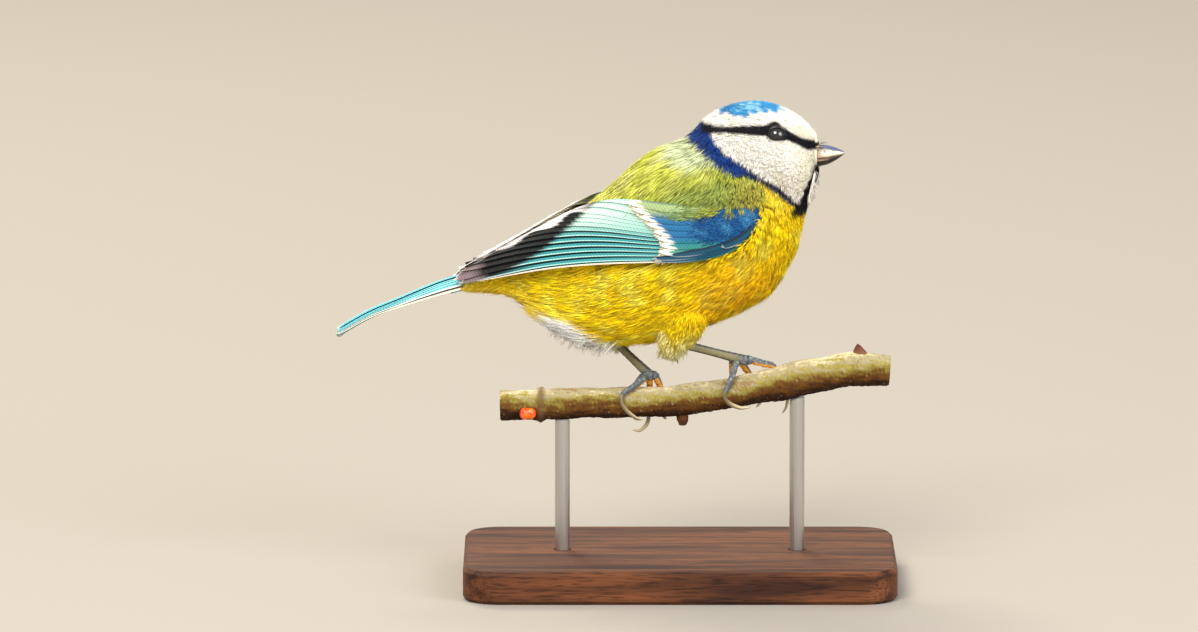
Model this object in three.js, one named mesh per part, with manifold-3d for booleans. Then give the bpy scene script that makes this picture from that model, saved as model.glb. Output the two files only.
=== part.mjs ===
import * as THREE from 'three';
import { mergeVertices } from 'three/addons/utils/BufferGeometryUtils.js';
import Module from 'manifold-3d';

// A blue tit (Cyanistes caeruleus) in life size, gripping a cut length of twig that
// two rods hold over a flat wooden base. Sizes are in millimetres.
// The bird faces +X, its right side is towards -Y, and +Z is up.
// The origin is the middle of the base's underside.

const GAP = 0.3;

// Body: one row for each cross-section, from the tail root to the bill.
// A row holds the point on the back (x, z), the point on the belly (x, z) and half the width.
const BODY_SECTIONS = [
  [-45.5, 65.0, -44.7, 62.6, 3.4],
  [-38.7, 68.7, -36.6, 61.5, 5.0],
  [-32.1, 72.5, -29.6, 56.8, 7.4],
  [-26.0, 76.4, -21.9, 52.5, 9.8],
  [-19.8, 81.1, -14.0, 50.8, 12.2],
  [-14.0, 86.5, -4.3, 51.6, 14.0],
  [-8.3, 91.6, 4.9, 54.6, 15.0],
  [-3.4, 94.4, 13.2, 58.1, 15.2],
  [0.0, 95.6, 19.6, 62.2, 14.6],
  [1.9, 96.7, 23.2, 67.6, 13.4],
  [3.4, 98.2, 25.5, 72.7, 12.0],
  [4.3, 99.5, 26.4, 77.3, 10.4],
  [7.2, 101.4, 27.0, 79.9, 10.2],
  [11.3, 103.0, 27.7, 82.0, 10.1],
  [16.4, 103.7, 28.3, 84.2, 9.8],
  [21.1, 102.7, 28.9, 86.1, 8.7],
  [24.9, 100.7, 29.6, 88.1, 6.9],
  [27.7, 98.2, 29.7, 89.5, 4.9],
  [29.4, 95.8, 29.5, 90.2, 3.1],
];
const BODY_RING_POINTS = 30;
const BODY_RING_STEP = 0.75;

// The head is turned a little towards the bird's right, by a twist that grows up the neck.
const HEAD_TURN = THREE.MathUtils.degToRad(8);
const HEAD_PIVOT_X = 14;
const NECK_LINE = [0.64, 0.77];
const NECK_LINE_Z = 72;
const NECK_START = 21;
const NECK_END = 30;

// Cuts between the body's nodes, each through two points (x, z) and straight across the body.
const COLLAR_FRONT_CUT = [[5.1, 99.9], [26.8, 79.9]];
const COLLAR_REAR_CUT = [[1.7, 96.7], [26.2, 76.5]];
const FLANK_CUT = [[19.1, 84.3], [-48.0, 65.0]];
const RUMP_CUT = [[-29.3, 74.5], [-26.0, 54.5]];
const CROWN_HEIGHT = 102.0;

// Eyes: a point on the left side of the head before it is turned, and the way out from it there.
const EYE_SURFACE = [20.6, 8.8, 97.9];
const EYE_OUTWARD = [0.16, 0.92, 0.35];
const EYE_RADIUS = 2.2;
const EYE_SINK = 1.2;
const LID_RING_RADIUS = 2.45;
const LID_RING_THICKNESS = 0.5;

// Bill, from its root inside the face to its tip: x, the height of the upper ridge, of the
// cutting edges and of the lower keel, and half the width.
const BILL_ROWS = [
  [28.0, 94.9, 91.5, 89.4, 2.5],
  [29.8, 94.6, 91.7, 89.9, 2.3],
  [31.6, 94.4, 91.9, 90.4, 1.75],
  [33.4, 93.9, 92.3, 91.4, 1.1],
  [34.6, 93.3, 92.7, 92.3, 0.5],
  [35.1, 93.0, 92.85, 92.7, 0.2],
];
const NOSTRIL = [31.0, 1.9, 93.3];
const NOSTRIL_RADII = [0.65, 0.45, 0.45];
const BILL_ARCH_POINTS = 8;

// Folded wing: its lower and upper edge, from the bend at the shoulder to the tip (x, z, half-span y).
const WING_LOWER_EDGE = [
  [17.9, 81.6, 11.2],
  [15.0, 76.8, 13.2],
  [7.4, 72.3, 15.2],
  [-5.3, 71.2, 15.7],
  [-19.1, 70.5, 13.2],
  [-34.0, 68.0, 9.2],
  [-48.5, 65.0, 4.2],
];
const WING_UPPER_EDGE = [
  [17.6, 84.6, 10.6],
  [11.7, 84.0, 13.0],
  [4.3, 82.4, 15.0],
  [-7.4, 83.6, 12.6],
  [-17.0, 83.9, 6.4],
  [-27.7, 78.3, 3.3],
  [-38.3, 72.1, 2.4],
  [-47.9, 67.1, 2.2],
];
const WING_CROWN = 1.1;
const WING_DEPTH = 1.9;
const WING_MARGIN = 1.0;
const WING_ROOM_HEIGHT = 4;

// The wing's arm, hidden under the coverts, in which every feather of the wing is rooted.
const ARM_LENGTH = 0.42;
const ARM_TOP = 0.15;

// Flight feathers from the lower edge up: six primaries, three secondaries and three tertials.
// Each number is the share of the wing's length that the feather's tip reaches.
const FLIGHT_TIPS = [0.965, 1.0, 0.985, 0.96, 0.93, 0.895, 0.845, 0.8, 0.755, 0.71, 0.63, 0.54];
const FLIGHT_ROOT = 0.36;
const FLIGHT_HALF_WIDTH = 1.15;
const FLIGHT_ROOT_SINK = 0.6;

// Coverts: rows of shorter vanes over the roots of the flight feathers.
// tips holds how far along the wing the row's vanes reach at its lower edge, middle and upper edge.
const COVERT_ROWS = [
  { count: 6, root: 0.18, tips: [0.48, 0.41, 0.48], halfWidth: 1.4, rootHeight: -0.2, tipHeight: 1.2 },
  { count: 5, root: 0.05, tips: [0.3, 0.26, 0.3], halfWidth: 1.6, rootHeight: -0.2, tipHeight: 1.5 },
];
const PRIMARY_COVERTS = [
  { root: [0.24, 0.07], tip: [0.54, 0.03], halfWidth: 0.9 },
  { root: [0.22, 0.15], tip: [0.5, 0.1], halfWidth: 0.9 },
];
const PRIMARY_COVERT_HEIGHTS = [0.2, 1.1];

// Vanes: feathers lie like tiles, so each is tipped until it clears its neighbour by the gap.
const VANE_THICKNESS = 0.6;
const VANE_CLEARANCE = 0.27;
const SHAFT_RISE = 0.08;
const FLIGHT_STEPS = 4;
const COVERT_STEPS = 3;

// Tail: its centre line (x, z) and half its width.
const TAIL_LINE = [
  [-46.1, 63.6, 2.9],
  [-51.1, 62.7, 3.5],
  [-59.6, 60.2, 4.6],
  [-66.0, 57.8, 5.5],
  [-73.0, 53.8, 6.2],
];
const TAIL_PAIRS = 5;
const TAIL_VANE_HALF_WIDTH = 1.3;
const TAIL_TIPS = [0.965, 0.975, 0.985, 1.0, 0.99];
const TAIL_ROOT = { length: 0.16, thickness: 2.0 };
const TAIL_STEPS = 5;
const TAIL_ROOF = 0.4;
const TAIL_TOP_VANE = { halfWidth: 1.1, height: 0.85, tip: 0.955 };

// Perch: its centre line and radius (x, z, radius).
const PERCH_ROWS = [
  [-38.3, 38.2, 3.3],
  [-25.5, 38.5, 3.4],
  [-12.8, 38.8, 3.35],
  [-4.3, 39.0, 3.35],
  [4.3, 39.8, 3.35],
  [12.8, 41.3, 3.4],
  [21.3, 42.8, 3.8],
  [25.5, 43.9, 3.9],
  [34.0, 45.5, 3.7],
  [38.3, 46.0, 3.8],
  [44.7, 45.6, 3.5],
];
const PERCH_SIDES = 14;
const PERCH_STEPS = 24;
const BUD_SCAR_X = -29.6;
const SIDE_BUD = { centre: [-32.4, -3.3, 36.9], radii: [1.8, 1.1, 1.4] };
const STUB_X = 0.6;
const TOP_BUD_X = 38.3;

// Legs: each thigh's middle line from inside the belly to its lowest tuft.
const THIGHS = {
  right: [[3.0, -6.0, 63.0], [1.0, -7.0, 58.0], [-1.4, -7.2, 53.2], [-2.2, -7.2, 50.0]],
  left: [[-8.5, 5.6, 61.0], [-11.0, 6.6, 56.4], [-14.2, 6.8, 52.4], [-15.4, 6.8, 50.6]],
};
const THIGH_RADII = [3.4, 4.7, 3.5, 1.7];
const TARSUS_RADIUS = 0.8;
const ANKLE_RADII = [2.0, 1.05, 1.1];
const LEGS = {
  right: { heel: [-1.7, -7.0, 53.0], ankle: [13.8, -0.8, 48.0] },
  left: { heel: [-17.0, 6.4, 53.9], ankle: [-6.4, 0.4, 44.6] },
};

// Toes as knots along the perch: distance from the ankle along X, angle round the perch
// (0 on top, positive over to the bird's left) and height of the toe's middle over the bark.
// Each toe ends and its claw begins at the share of the path named by claw.
const TOES = {
  right: [
    { claw: 0.5, knots: [[-0.5, -10, 3.6], [-1.8, -34, 1.7], [-3.2, -60, 1.0], [-4.3, -86, 0.9],
      [-3.8, -112, 0.9], [-1.6, -142, 1.0], [0.6, -160, 0.8]] },
    { claw: 0.66, knots: [[-1.5, 4, 3.0], [-1.9, 28, 1.4], [-2.2, 60, 0.95], [-2.4, 95, 0.9],
      [-2.6, 122, 0.9], [-2.2, 148, 1.1], [-1.4, 168, 1.0]] },
    { claw: 0.68, knots: [[0.0, 6, 3.2], [0.9, 30, 1.5], [1.8, 62, 0.95], [2.5, 96, 0.9],
      [2.8, 124, 0.9], [2.6, 148, 1.2], [1.8, 168, 1.1]] },
    { claw: 0.66, knots: [[1.6, 4, 3.0], [4.6, 10, 1.5], [6.6, 32, 0.95], [7.4, 68, 0.9],
      [7.9, 104, 1.0], [8.3, 132, 2.0], [7.7, 148, 3.1], [6.8, 156, 3.8]] },
  ],
  left: [
    { claw: 0.55, knots: [[-0.9, -14, 2.2], [-3.6, -32, 1.1], [-5.5, -52, 0.95], [-6.1, -74, 0.9],
      [-5.2, -104, 0.9], [-3.2, -134, 0.95], [-1.6, -158, 0.9]] },
    { claw: 0.68, knots: [[-1.5, 8, 1.9], [-2.7, 34, 1.1], [-3.5, 66, 0.95], [-4.0, 100, 0.9],
      [-3.9, 128, 0.9], [-3.2, 152, 1.1], [-2.0, 172, 1.0]] },
    { claw: 0.6, knots: [[0.0, 10, 2.0], [0.1, 36, 1.1], [0.0, 68, 0.95], [-0.1, 102, 0.9],
      [-0.2, 130, 1.2], [-0.6, 148, 2.6], [-2.0, 158, 3.7], [-3.6, 162, 3.4]] },
    { claw: 0.68, knots: [[1.5, 8, 1.9], [2.2, 34, 1.1], [2.5, 66, 0.95], [2.4, 100, 0.9],
      [2.5, 128, 0.9], [2.8, 152, 1.1], [3.3, 170, 1.0]] },
  ],
};
const TOE_RADIUS = 0.62;
const TOE_TIP_RADIUS = 0.5;
const CLAW_RADIUS = 0.42;
const CLAW_TIP_RADIUS = 0.12;
const TOE_SIDES = 6;

// Display stand
const BASE_SIZE = [92, 56, 7];
const BASE_CORNER = 7;
const BASE_BEVEL = 0.8;
const ROD_RADIUS = 1.6;
const ROD_X = [-25, 25];
const ROD_SINK = 4;

const wasm = await Module();
wasm.setup();

function interpolateRows(rows, place) {
  const last = rows.length - 1;
  const start = Math.min(Math.max(Math.floor(place), 0), last - 1);
  const share = place - start;
  const row = (k) => rows[Math.min(Math.max(k, 0), last)];
  const before = start > 0 ? row(start - 1) : row(0).map((v, i) => 2 * v - row(1)[i]);
  const after = start < last - 1 ? row(start + 2) : row(last).map((v, i) => 2 * v - row(last - 1)[i]);
  return row(start).map((b, i) => {
    const c = row(start + 1)[i];
    const slope = c - before[i];
    const square = 2 * before[i] - 5 * b + 4 * c - after[i];
    const cube = -before[i] + 3 * b - 3 * c + after[i];
    return b + 0.5 * share * (slope + share * (square + share * cube));
  });
}

function placeAtX(rows, x) {
  let low = 0;
  let high = rows.length - 1;
  const rising = rows[high][0] > rows[0][0];
  for (let i = 0; i < 40; i += 1) {
    const middle = (low + high) / 2;
    if ((interpolateRows(rows, middle)[0] < x) === rising) low = middle;
    else high = middle;
  }
  return (low + high) / 2;
}

function closedGeometry(points, faces) {
  let volume = 0;
  for (const [a, b, c] of faces) {
    volume += points[a].dot(new THREE.Vector3().crossVectors(points[b], points[c]));
  }
  const outward = volume > 0 ? faces : faces.map(([a, b, c]) => [a, c, b]);
  const geometry = new THREE.BufferGeometry().setFromPoints(points);
  geometry.setIndex(outward.flat());
  return geometry;
}

// Skin over a row of rings, closed at both ends by a fan.
function loft(rings) {
  const count = rings[0].length;
  const points = rings.flat();
  const faces = [];
  for (let i = 0; i < rings.length - 1; i += 1) {
    for (let j = 0; j < count; j += 1) {
      const a = i * count + j;
      const b = i * count + (j + 1) % count;
      faces.push([a, b, b + count], [a, b + count, a + count]);
    }
  }
  for (const [ring, turn] of [[0, true], [rings.length - 1, false]]) {
    const middle = new THREE.Vector3();
    rings[ring].forEach((p) => middle.addScaledVector(p, 1 / count));
    points.push(middle);
    for (let j = 0; j < count; j += 1) {
      const a = ring * count + j;
      const b = ring * count + (j + 1) % count;
      faces.push(turn ? [b, a, points.length - 1] : [a, b, points.length - 1]);
    }
  }
  return closedGeometry(points, faces);
}

// Closed slab between two grids of points, split into triangles alike on both faces.
function slab(outer, inner) {
  const rows = outer.length;
  const columns = outer[0].length;
  const points = [...outer.flat(), ...inner.flat()];
  const back = rows * columns;
  const faces = [];
  for (let i = 0; i < rows - 1; i += 1) {
    for (let j = 0; j < columns - 1; j += 1) {
      const a = i * columns + j;
      const b = a + 1;
      const c = a + columns;
      const d = c + 1;
      faces.push([a, b, d], [a, d, c], [back + a, back + d, back + b], [back + a, back + c, back + d]);
    }
  }
  const edge = [];
  for (let j = 0; j < columns; j += 1) edge.push(j);
  for (let i = 1; i < rows; i += 1) edge.push(i * columns + columns - 1);
  for (let j = columns - 2; j >= 0; j -= 1) edge.push((rows - 1) * columns + j);
  for (let i = rows - 2; i > 0; i -= 1) edge.push(i * columns);
  edge.forEach((a, k) => {
    const b = edge[(k + 1) % edge.length];
    faces.push([b, a, back + a], [b, back + a, back + b]);
  });
  return closedGeometry(points, faces);
}

// Round tube along a smooth path through the points, with a radius at each share of its length.
function tube(points, radiusAt, sides, steps, from = 0, to = 1) {
  const path = new THREE.CatmullRomCurve3(points);
  const frames = path.computeFrenetFrames(steps, false);
  const rings = [];
  for (let i = 0; i <= steps; i += 1) {
    const share = i / steps;
    const place = from + (to - from) * share;
    const centre = path.getPointAt(place);
    const frame = Math.round(place * steps);
    const ring = [];
    for (let j = 0; j < sides; j += 1) {
      const angle = (2 * Math.PI * j) / sides;
      const spoke = frames.normals[frame].clone().multiplyScalar(Math.cos(angle));
      spoke.addScaledVector(frames.binormals[frame], Math.sin(angle));
      ring.push(centre.clone().addScaledVector(spoke, radiusAt(share)));
    }
    rings.push(ring);
  }
  return loft(rings);
}

function toSolid(geometry) {
  const plain = geometry.clone();
  plain.deleteAttribute('normal');
  plain.deleteAttribute('uv');
  const merged = mergeVertices(plain, 1e-4);
  const vertProperties = new Float32Array(merged.attributes.position.array);
  const triVerts = new Uint32Array(merged.index.array);
  return new wasm.Manifold(new wasm.Mesh({ numProp: 3, vertProperties, triVerts }));
}

function toGeometry(solid) {
  const mesh = solid.getMesh();
  const geometry = new THREE.BufferGeometry();
  geometry.setAttribute('position', new THREE.BufferAttribute(Float32Array.from(mesh.vertProperties), 3));
  geometry.setIndex(new THREE.BufferAttribute(Uint32Array.from(mesh.triVerts), 1));
  return geometry;
}

function largestPiece(solid) {
  const pieces = solid.decompose();
  return pieces.reduce((best, piece) => (piece.volume() > best.volume() ? piece : best));
}

function ellipsoid(centre, radii, around, high) {
  const geometry = new THREE.SphereGeometry(1, around, high);
  geometry.scale(...radii);
  geometry.translate(...centre);
  return geometry;
}

// Plane across the body through two points (x, z), as a normal in the XZ plane and an offset.
function crossPlane([[ax, az], [bx, bz]]) {
  const length = Math.hypot(bx - ax, bz - az);
  const normal = [-(bz - az) / length, 0, (bx - ax) / length];
  return { normal, offset: normal[0] * ax + normal[2] * az };
}

function ahead(solid, plane) {
  return solid.trimByPlane(plane.normal, plane.offset + GAP / 2);
}

function behind(solid, plane) {
  return solid.trimByPlane(plane.normal.map((v) => -v), -plane.offset + GAP / 2);
}

function turnHead(point) {
  const reach = point.x * NECK_LINE[0] + (point.z - NECK_LINE_Z) * NECK_LINE[1];
  const angle = -HEAD_TURN * THREE.MathUtils.smoothstep(reach, NECK_START, NECK_END);
  const x = point.x - HEAD_PIVOT_X;
  return new THREE.Vector3(
    HEAD_PIVOT_X + x * Math.cos(angle) - point.y * Math.sin(angle),
    x * Math.sin(angle) + point.y * Math.cos(angle),
    point.z,
  );
}

function bodySolid() {
  const rings = [];
  const steps = Math.round((BODY_SECTIONS.length - 1) / BODY_RING_STEP);
  for (let i = 0; i <= steps; i += 1) {
    const place = (i * (BODY_SECTIONS.length - 1)) / steps;
    const [backX, backZ, bellyX, bellyZ, halfWidth] = interpolateRows(BODY_SECTIONS, place);
    const ring = [];
    for (let j = 0; j < BODY_RING_POINTS; j += 1) {
      const angle = (2 * Math.PI * j) / BODY_RING_POINTS;
      const share = (1 - Math.cos(angle)) / 2;
      const point = new THREE.Vector3(
        backX + (bellyX - backX) * share,
        halfWidth * Math.sin(angle),
        backZ + (bellyZ - backZ) * share,
      );
      ring.push(turnHead(point));
    }
    rings.push(ring);
  }
  return toSolid(loft(rings));
}

function sideSign(side) {
  return side === 'left' ? 1 : -1;
}

// A point over the folded wing: along it from the bend (0) to the tip (1), up it from the
// lower edge (0) to the upper edge (1), and out from the sheet by a height.
function wingSheet(side, along, up) {
  const low = interpolateRows(WING_LOWER_EDGE, along * (WING_LOWER_EDGE.length - 1));
  const high = interpolateRows(WING_UPPER_EDGE, along * (WING_UPPER_EDGE.length - 1));
  const point = new THREE.Vector3(
    low[0] + (high[0] - low[0]) * up,
    sideSign(side) * (low[2] + (high[2] - low[2]) * up),
    low[1] + (high[1] - low[1]) * up,
  );
  const crown = WING_CROWN * 4 * up * (1 - up) * Math.sin(Math.PI * Math.min(1, 0.15 + 0.85 * along));
  point.y += sideSign(side) * crown;
  return point;
}

function wingPoint(side, along, up, height) {
  const step = 0.01;
  const alongway = wingSheet(side, along + step, up).sub(wingSheet(side, along - step, up));
  const upway = wingSheet(side, along, up + step).sub(wingSheet(side, along, up - step));
  const normal = new THREE.Vector3().crossVectors(alongway, upway).normalize();
  if (normal.y * sideSign(side) < 0) normal.negate();
  return wingSheet(side, along, up).addScaledVector(normal, height);
}

function gridOf(rows, columns, pointAt) {
  const grid = [];
  for (let i = 0; i <= rows; i += 1) {
    grid.push(Array.from({ length: columns + 1 }, (_, j) => pointAt(i / rows, j / columns)));
  }
  return grid;
}

// The room that the folded wing takes, with its clearance, cut out of the body.
function wingRoom(side) {
  const place = (a, b, height) => {
    const margin = WING_MARGIN / wingWidth(side, a);
    const point = wingPoint(side, a, -margin + (1 + 2 * margin) * b, height);
    const ahead = wingSheet(side, 0, 0.5).sub(wingSheet(side, 1, 0.5)).normalize();
    const overrun = a === 0 ? WING_MARGIN : 0;
    return point.addScaledVector(ahead, a === 1 ? -WING_MARGIN : overrun);
  };
  const outer = gridOf(18, 6, (a, b) => place(a, b, WING_ROOM_HEIGHT));
  const inner = gridOf(18, 6, (a, b) => place(a, b, -WING_DEPTH - GAP));
  return toSolid(slab(outer, inner));
}

// How a vane's half-width changes from its root (0) to its rounded tip (1).
function vaneTaper(share) {
  return share < 1 ? 0.75 + 0.25 * Math.sin(Math.PI * Math.min(share * 1.3, 1)) : 0.35;
}

// A vane is a thin slab over rows of three points: lower edge, raised shaft and upper edge.
// pointAt gives the place of (share along it, millimetres across it, height).
function vane(steps, halfWidth, pointAt) {
  const face = (sign) => gridOf(steps, 2, (share, column) => {
    const across = (2 * column - 1) * halfWidth * vaneTaper(share);
    const thickness = share < 1 ? VANE_THICKNESS : VANE_THICKNESS * 0.6;
    const rise = column === 0.5 ? SHAFT_RISE : 0;
    return pointAt(share, across, sign * thickness / 2 + rise);
  });
  return toSolid(slab(face(1), face(-1)));
}

// How many flight feathers besides the lowest reach this far along the wing.
function feathersReaching(along) {
  let index = 1;
  while (index < FLIGHT_TIPS.length - 1 && FLIGHT_TIPS[index + 1] > along) index += 1;
  if (along >= FLIGHT_TIPS[1] || index === FLIGHT_TIPS.length - 1) return index;
  const share = (FLIGHT_TIPS[index] - along) / (FLIGHT_TIPS[index] - FLIGHT_TIPS[index + 1]);
  return index + share;
}

function wingWidth(side, along) {
  return wingSheet(side, along, 0).distanceTo(wingSheet(side, along, 1));
}

// The feathers that reach a place share the wing's width there evenly.
function flightFeather(side, index) {
  const tip = FLIGHT_TIPS[index];
  return vane(FLIGHT_STEPS, FLIGHT_HALF_WIDTH, (share, across, height) => {
    const along = FLIGHT_ROOT + (tip - FLIGHT_ROOT) * share;
    const width = wingWidth(side, along);
    const lanes = feathersReaching(along) + 1;
    const tilt = (VANE_THICKNESS + VANE_CLEARANCE) / (width / lanes);
    const sink = FLIGHT_ROOT_SINK * (1 - THREE.MathUtils.smoothstep(share, 0, 0.4));
    const up = (index + 0.5) / lanes + across / width;
    return wingPoint(side, along, up, height - sink - across * Math.min(tilt, 0.9));
  });
}

function covert(side, row, index) {
  const up = (index + 0.5) / row.count;
  const [tip] = interpolateRows(row.tips.map((t) => [t]), up * 2);
  return vane(COVERT_STEPS, row.halfWidth, (share, across, height) => {
    const along = row.root + (tip - row.root) * share;
    const width = wingWidth(side, along);
    const tilt = (VANE_THICKNESS + VANE_CLEARANCE) / (width / row.count);
    const level = row.rootHeight + (row.tipHeight - row.rootHeight) * Math.sqrt(share);
    return wingPoint(side, along, up + across / width, height + level - across * tilt);
  });
}

function primaryCovert(side, { root, tip, halfWidth }) {
  const [rootHeight, tipHeight] = PRIMARY_COVERT_HEIGHTS;
  return vane(COVERT_STEPS, halfWidth, (share, across, height) => {
    const along = root[0] + (tip[0] - root[0]) * share;
    const up = root[1] + (tip[1] - root[1]) * share + across / wingWidth(side, along);
    const level = rootHeight + (tipHeight - rootHeight) * Math.sqrt(share);
    return wingPoint(side, along, up, height + level - across * 0.5);
  });
}

function wingArm(side) {
  const edge = (b) => 1 - (2 * b - 1) ** 2;
  const outer = gridOf(6, 5, (a, b) => wingPoint(side, a * ARM_LENGTH, b, ARM_TOP + 0.9 * (1 - a) * edge(b)));
  const inner = gridOf(6, 5, (a, b) => wingPoint(side, a * ARM_LENGTH, b, -0.6 - (WING_DEPTH - 0.6) * edge(b)));
  return toSolid(slab(outer, inner));
}

function wing(side) {
  const feathers = FLIGHT_TIPS.map((_, index) => flightFeather(side, index));
  for (const row of COVERT_ROWS) {
    for (let index = 0; index < row.count; index += 1) feathers.push(covert(side, row, index));
  }
  PRIMARY_COVERTS.forEach((one) => feathers.push(primaryCovert(side, one)));
  return feathers.reduce((whole, feather) => whole.add(feather), wingArm(side));
}

// A point on the tail: share of its length, distance from its middle line, height over it.
function tailPoint(share, y, height) {
  const place = share * (TAIL_LINE.length - 1);
  const [x, z, half] = interpolateRows(TAIL_LINE, place);
  const [nextX, nextZ] = interpolateRows(TAIL_LINE, place + 0.05);
  const up = new THREE.Vector3(nextZ - z, 0, x - nextX).normalize();
  const roof = TAIL_ROOF * (1 - (y / half) ** 2);
  return new THREE.Vector3(x, y, z).addScaledVector(up, height + roof);
}

// Tail feathers lie like tiles, the middle pair on top and each outer one under the last.
function tailFeather(side, pair) {
  return vane(TAIL_STEPS, TAIL_VANE_HALF_WIDTH, (share, across, height) => {
    const reach = 0.02 + (TAIL_TIPS[pair] - 0.02) * share;
    const [, , half] = interpolateRows(TAIL_LINE, reach * (TAIL_LINE.length - 1));
    const lane = half / TAIL_PAIRS;
    const middle = lane * (pair + 0.5);
    const y = Math.max(middle + across, GAP / 2);
    const tilt = Math.min((VANE_THICKNESS + VANE_CLEARANCE) / lane, 0.9);
    return tailPoint(reach, sideSign(side) * y, height + tilt * (y - middle));
  });
}

function tail() {
  const root = (sign) => gridOf(3, 4, (a, b) => {
    const share = a * TAIL_ROOT.length;
    const [, , half] = interpolateRows(TAIL_LINE, share * (TAIL_LINE.length - 1));
    return tailPoint(share, half * (2 * b - 1), sign * TAIL_ROOT.thickness / 2 - 0.2);
  });
  let whole = toSolid(slab(root(1), root(-1)));
  for (const side of ['right', 'left']) {
    for (let pair = 0; pair < TAIL_PAIRS; pair += 1) whole = whole.add(tailFeather(side, pair));
  }
  const top = vane(TAIL_STEPS, TAIL_TOP_VANE.halfWidth, (share, across, height) => {
    const rise = TAIL_TOP_VANE.height * THREE.MathUtils.smoothstep(share, 0, 0.3);
    return tailPoint(0.02 + (TAIL_TOP_VANE.tip - 0.02) * share, across, height + rise);
  });
  return whole.add(top);
}

function eyeFrame(side) {
  const [x, y, z] = EYE_SURFACE;
  const surface = new THREE.Vector3(x, sideSign(side) * y, z);
  const [outX, outY, outZ] = EYE_OUTWARD;
  const beyond = surface.clone().add(new THREE.Vector3(outX, sideSign(side) * outY, outZ));
  const place = turnHead(surface);
  return { place, outward: turnHead(beyond).sub(place).normalize() };
}

function eye(side, grow = 0) {
  const radius = EYE_RADIUS + grow;
  const { place, outward } = eyeFrame(side);
  const centre = place.addScaledVector(outward, -EYE_SINK);
  return toSolid(ellipsoid(centre.toArray(), [radius, radius, radius], 12, 8));
}

// Rim of bare skin round the eye, level with the side of the head there.
function lids(side) {
  const ring = new THREE.TorusGeometry(LID_RING_RADIUS, LID_RING_THICKNESS, 5, 16);
  const { place, outward } = eyeFrame(side);
  ring.applyQuaternion(new THREE.Quaternion().setFromUnitVectors(new THREE.Vector3(0, 0, 1), outward));
  ring.translate(...place.addScaledVector(outward, -LID_RING_THICKNESS / 2).toArray());
  return toSolid(ring);
}

// One half of the bill: an arch from the cutting edge to the ridge or the keel.
function billHalf(upper) {
  const rings = BILL_ROWS.map(([x, ridge, edge, keel, halfWidth], row) => {
    const atTip = row === BILL_ROWS.length - 1;
    const parting = (upper ? 1 : -1) * (atTip ? GAP / 4 : GAP / 2);
    const rise = (upper ? ridge : keel) - edge - parting;
    const ring = [];
    for (let j = 0; j <= BILL_ARCH_POINTS; j += 1) {
      const angle = (Math.PI * j) / BILL_ARCH_POINTS;
      const z = edge + parting + rise * Math.sin(angle);
      ring.push(turnHead(new THREE.Vector3(x, halfWidth * Math.cos(angle), z)));
    }
    return ring;
  });
  return toSolid(loft(rings));
}

// The slot in the face that both halves of the bill sit in.
function billRoom() {
  const rings = BILL_ROWS.slice(0, 3).map(([x, ridge, , keel, halfWidth], row) => {
    const ring = [];
    for (let j = 0; j < 2 * BILL_ARCH_POINTS; j += 1) {
      const angle = (Math.PI * j) / BILL_ARCH_POINTS;
      const y = (halfWidth + GAP) * Math.cos(angle);
      const z = (ridge + keel) / 2 + ((ridge - keel) / 2 + GAP) * Math.sin(angle);
      ring.push(turnHead(new THREE.Vector3(row === 0 ? x - GAP : x, y, z)));
    }
    return ring;
  });
  return toSolid(loft(rings));
}

function nostrils() {
  return [-1, 1].map((sign) => {
    const centre = turnHead(new THREE.Vector3(NOSTRIL[0], sign * NOSTRIL[1], NOSTRIL[2]));
    return toSolid(ellipsoid(centre.toArray(), NOSTRIL_RADII, 8, 6));
  });
}

function thigh(side, grow = 0) {
  const points = THIGHS[side].map((p) => new THREE.Vector3(...p));
  const radiusAt = (share) => {
    const place = share * (THIGH_RADII.length - 1);
    return interpolateRows(THIGH_RADII.map((r) => [r]), place)[0] + grow;
  };
  return toSolid(tube(points, radiusAt, 12, 6));
}

function tarsus(side, grow = 0) {
  const { heel, ankle } = LEGS[side];
  const ends = [new THREE.Vector3(...heel), new THREE.Vector3(...ankle)];
  const shank = tube(ends, (share) => TARSUS_RADIUS * (1.15 - 0.3 * Math.sin(Math.PI * share)) + grow, 8, 4);
  const joint = ellipsoid(ankle, ANKLE_RADII.map((r) => r + grow), 10, 6);
  return toSolid(shank).add(toSolid(joint));
}

function perchFrame(x) {
  const place = placeAtX(PERCH_ROWS, x);
  const [, z, radius] = interpolateRows(PERCH_ROWS, place);
  const next = interpolateRows(PERCH_ROWS, place + 0.05);
  const up = new THREE.Vector3(-(next[1] - z), 0, next[0] - x).normalize();
  return { centre: new THREE.Vector3(x, 0, z), radius, up };
}

function gripPoint(ankleX, [shift, degrees, height]) {
  const { centre, radius, up } = perchFrame(ankleX + shift);
  const angle = THREE.MathUtils.degToRad(degrees);
  const spoke = up.clone().multiplyScalar(Math.cos(angle));
  spoke.y += Math.sin(angle);
  return centre.addScaledVector(spoke, radius + height);
}

function toePath(side, toe) {
  return toe.knots.map((knot) => gripPoint(LEGS[side].ankle[0], knot));
}

function toeSolid(side, toe) {
  const radiusAt = (share) => TOE_RADIUS + (TOE_TIP_RADIUS - TOE_RADIUS) * share;
  const whole = toSolid(tube(toePath(side, toe), radiusAt, TOE_SIDES, 9, 0, toe.claw));
  return largestPiece(whole.subtract(tarsus(side, GAP)));
}

function clawSolid(side, toe) {
  const path = toePath(side, toe);
  const length = new THREE.CatmullRomCurve3(path).getLength();
  const radiusAt = (share) => CLAW_RADIUS + (CLAW_TIP_RADIUS - CLAW_RADIUS) * share ** 1.3;
  return toSolid(tube(path, radiusAt, TOE_SIDES, 7, toe.claw + GAP / length, 1));
}

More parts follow.
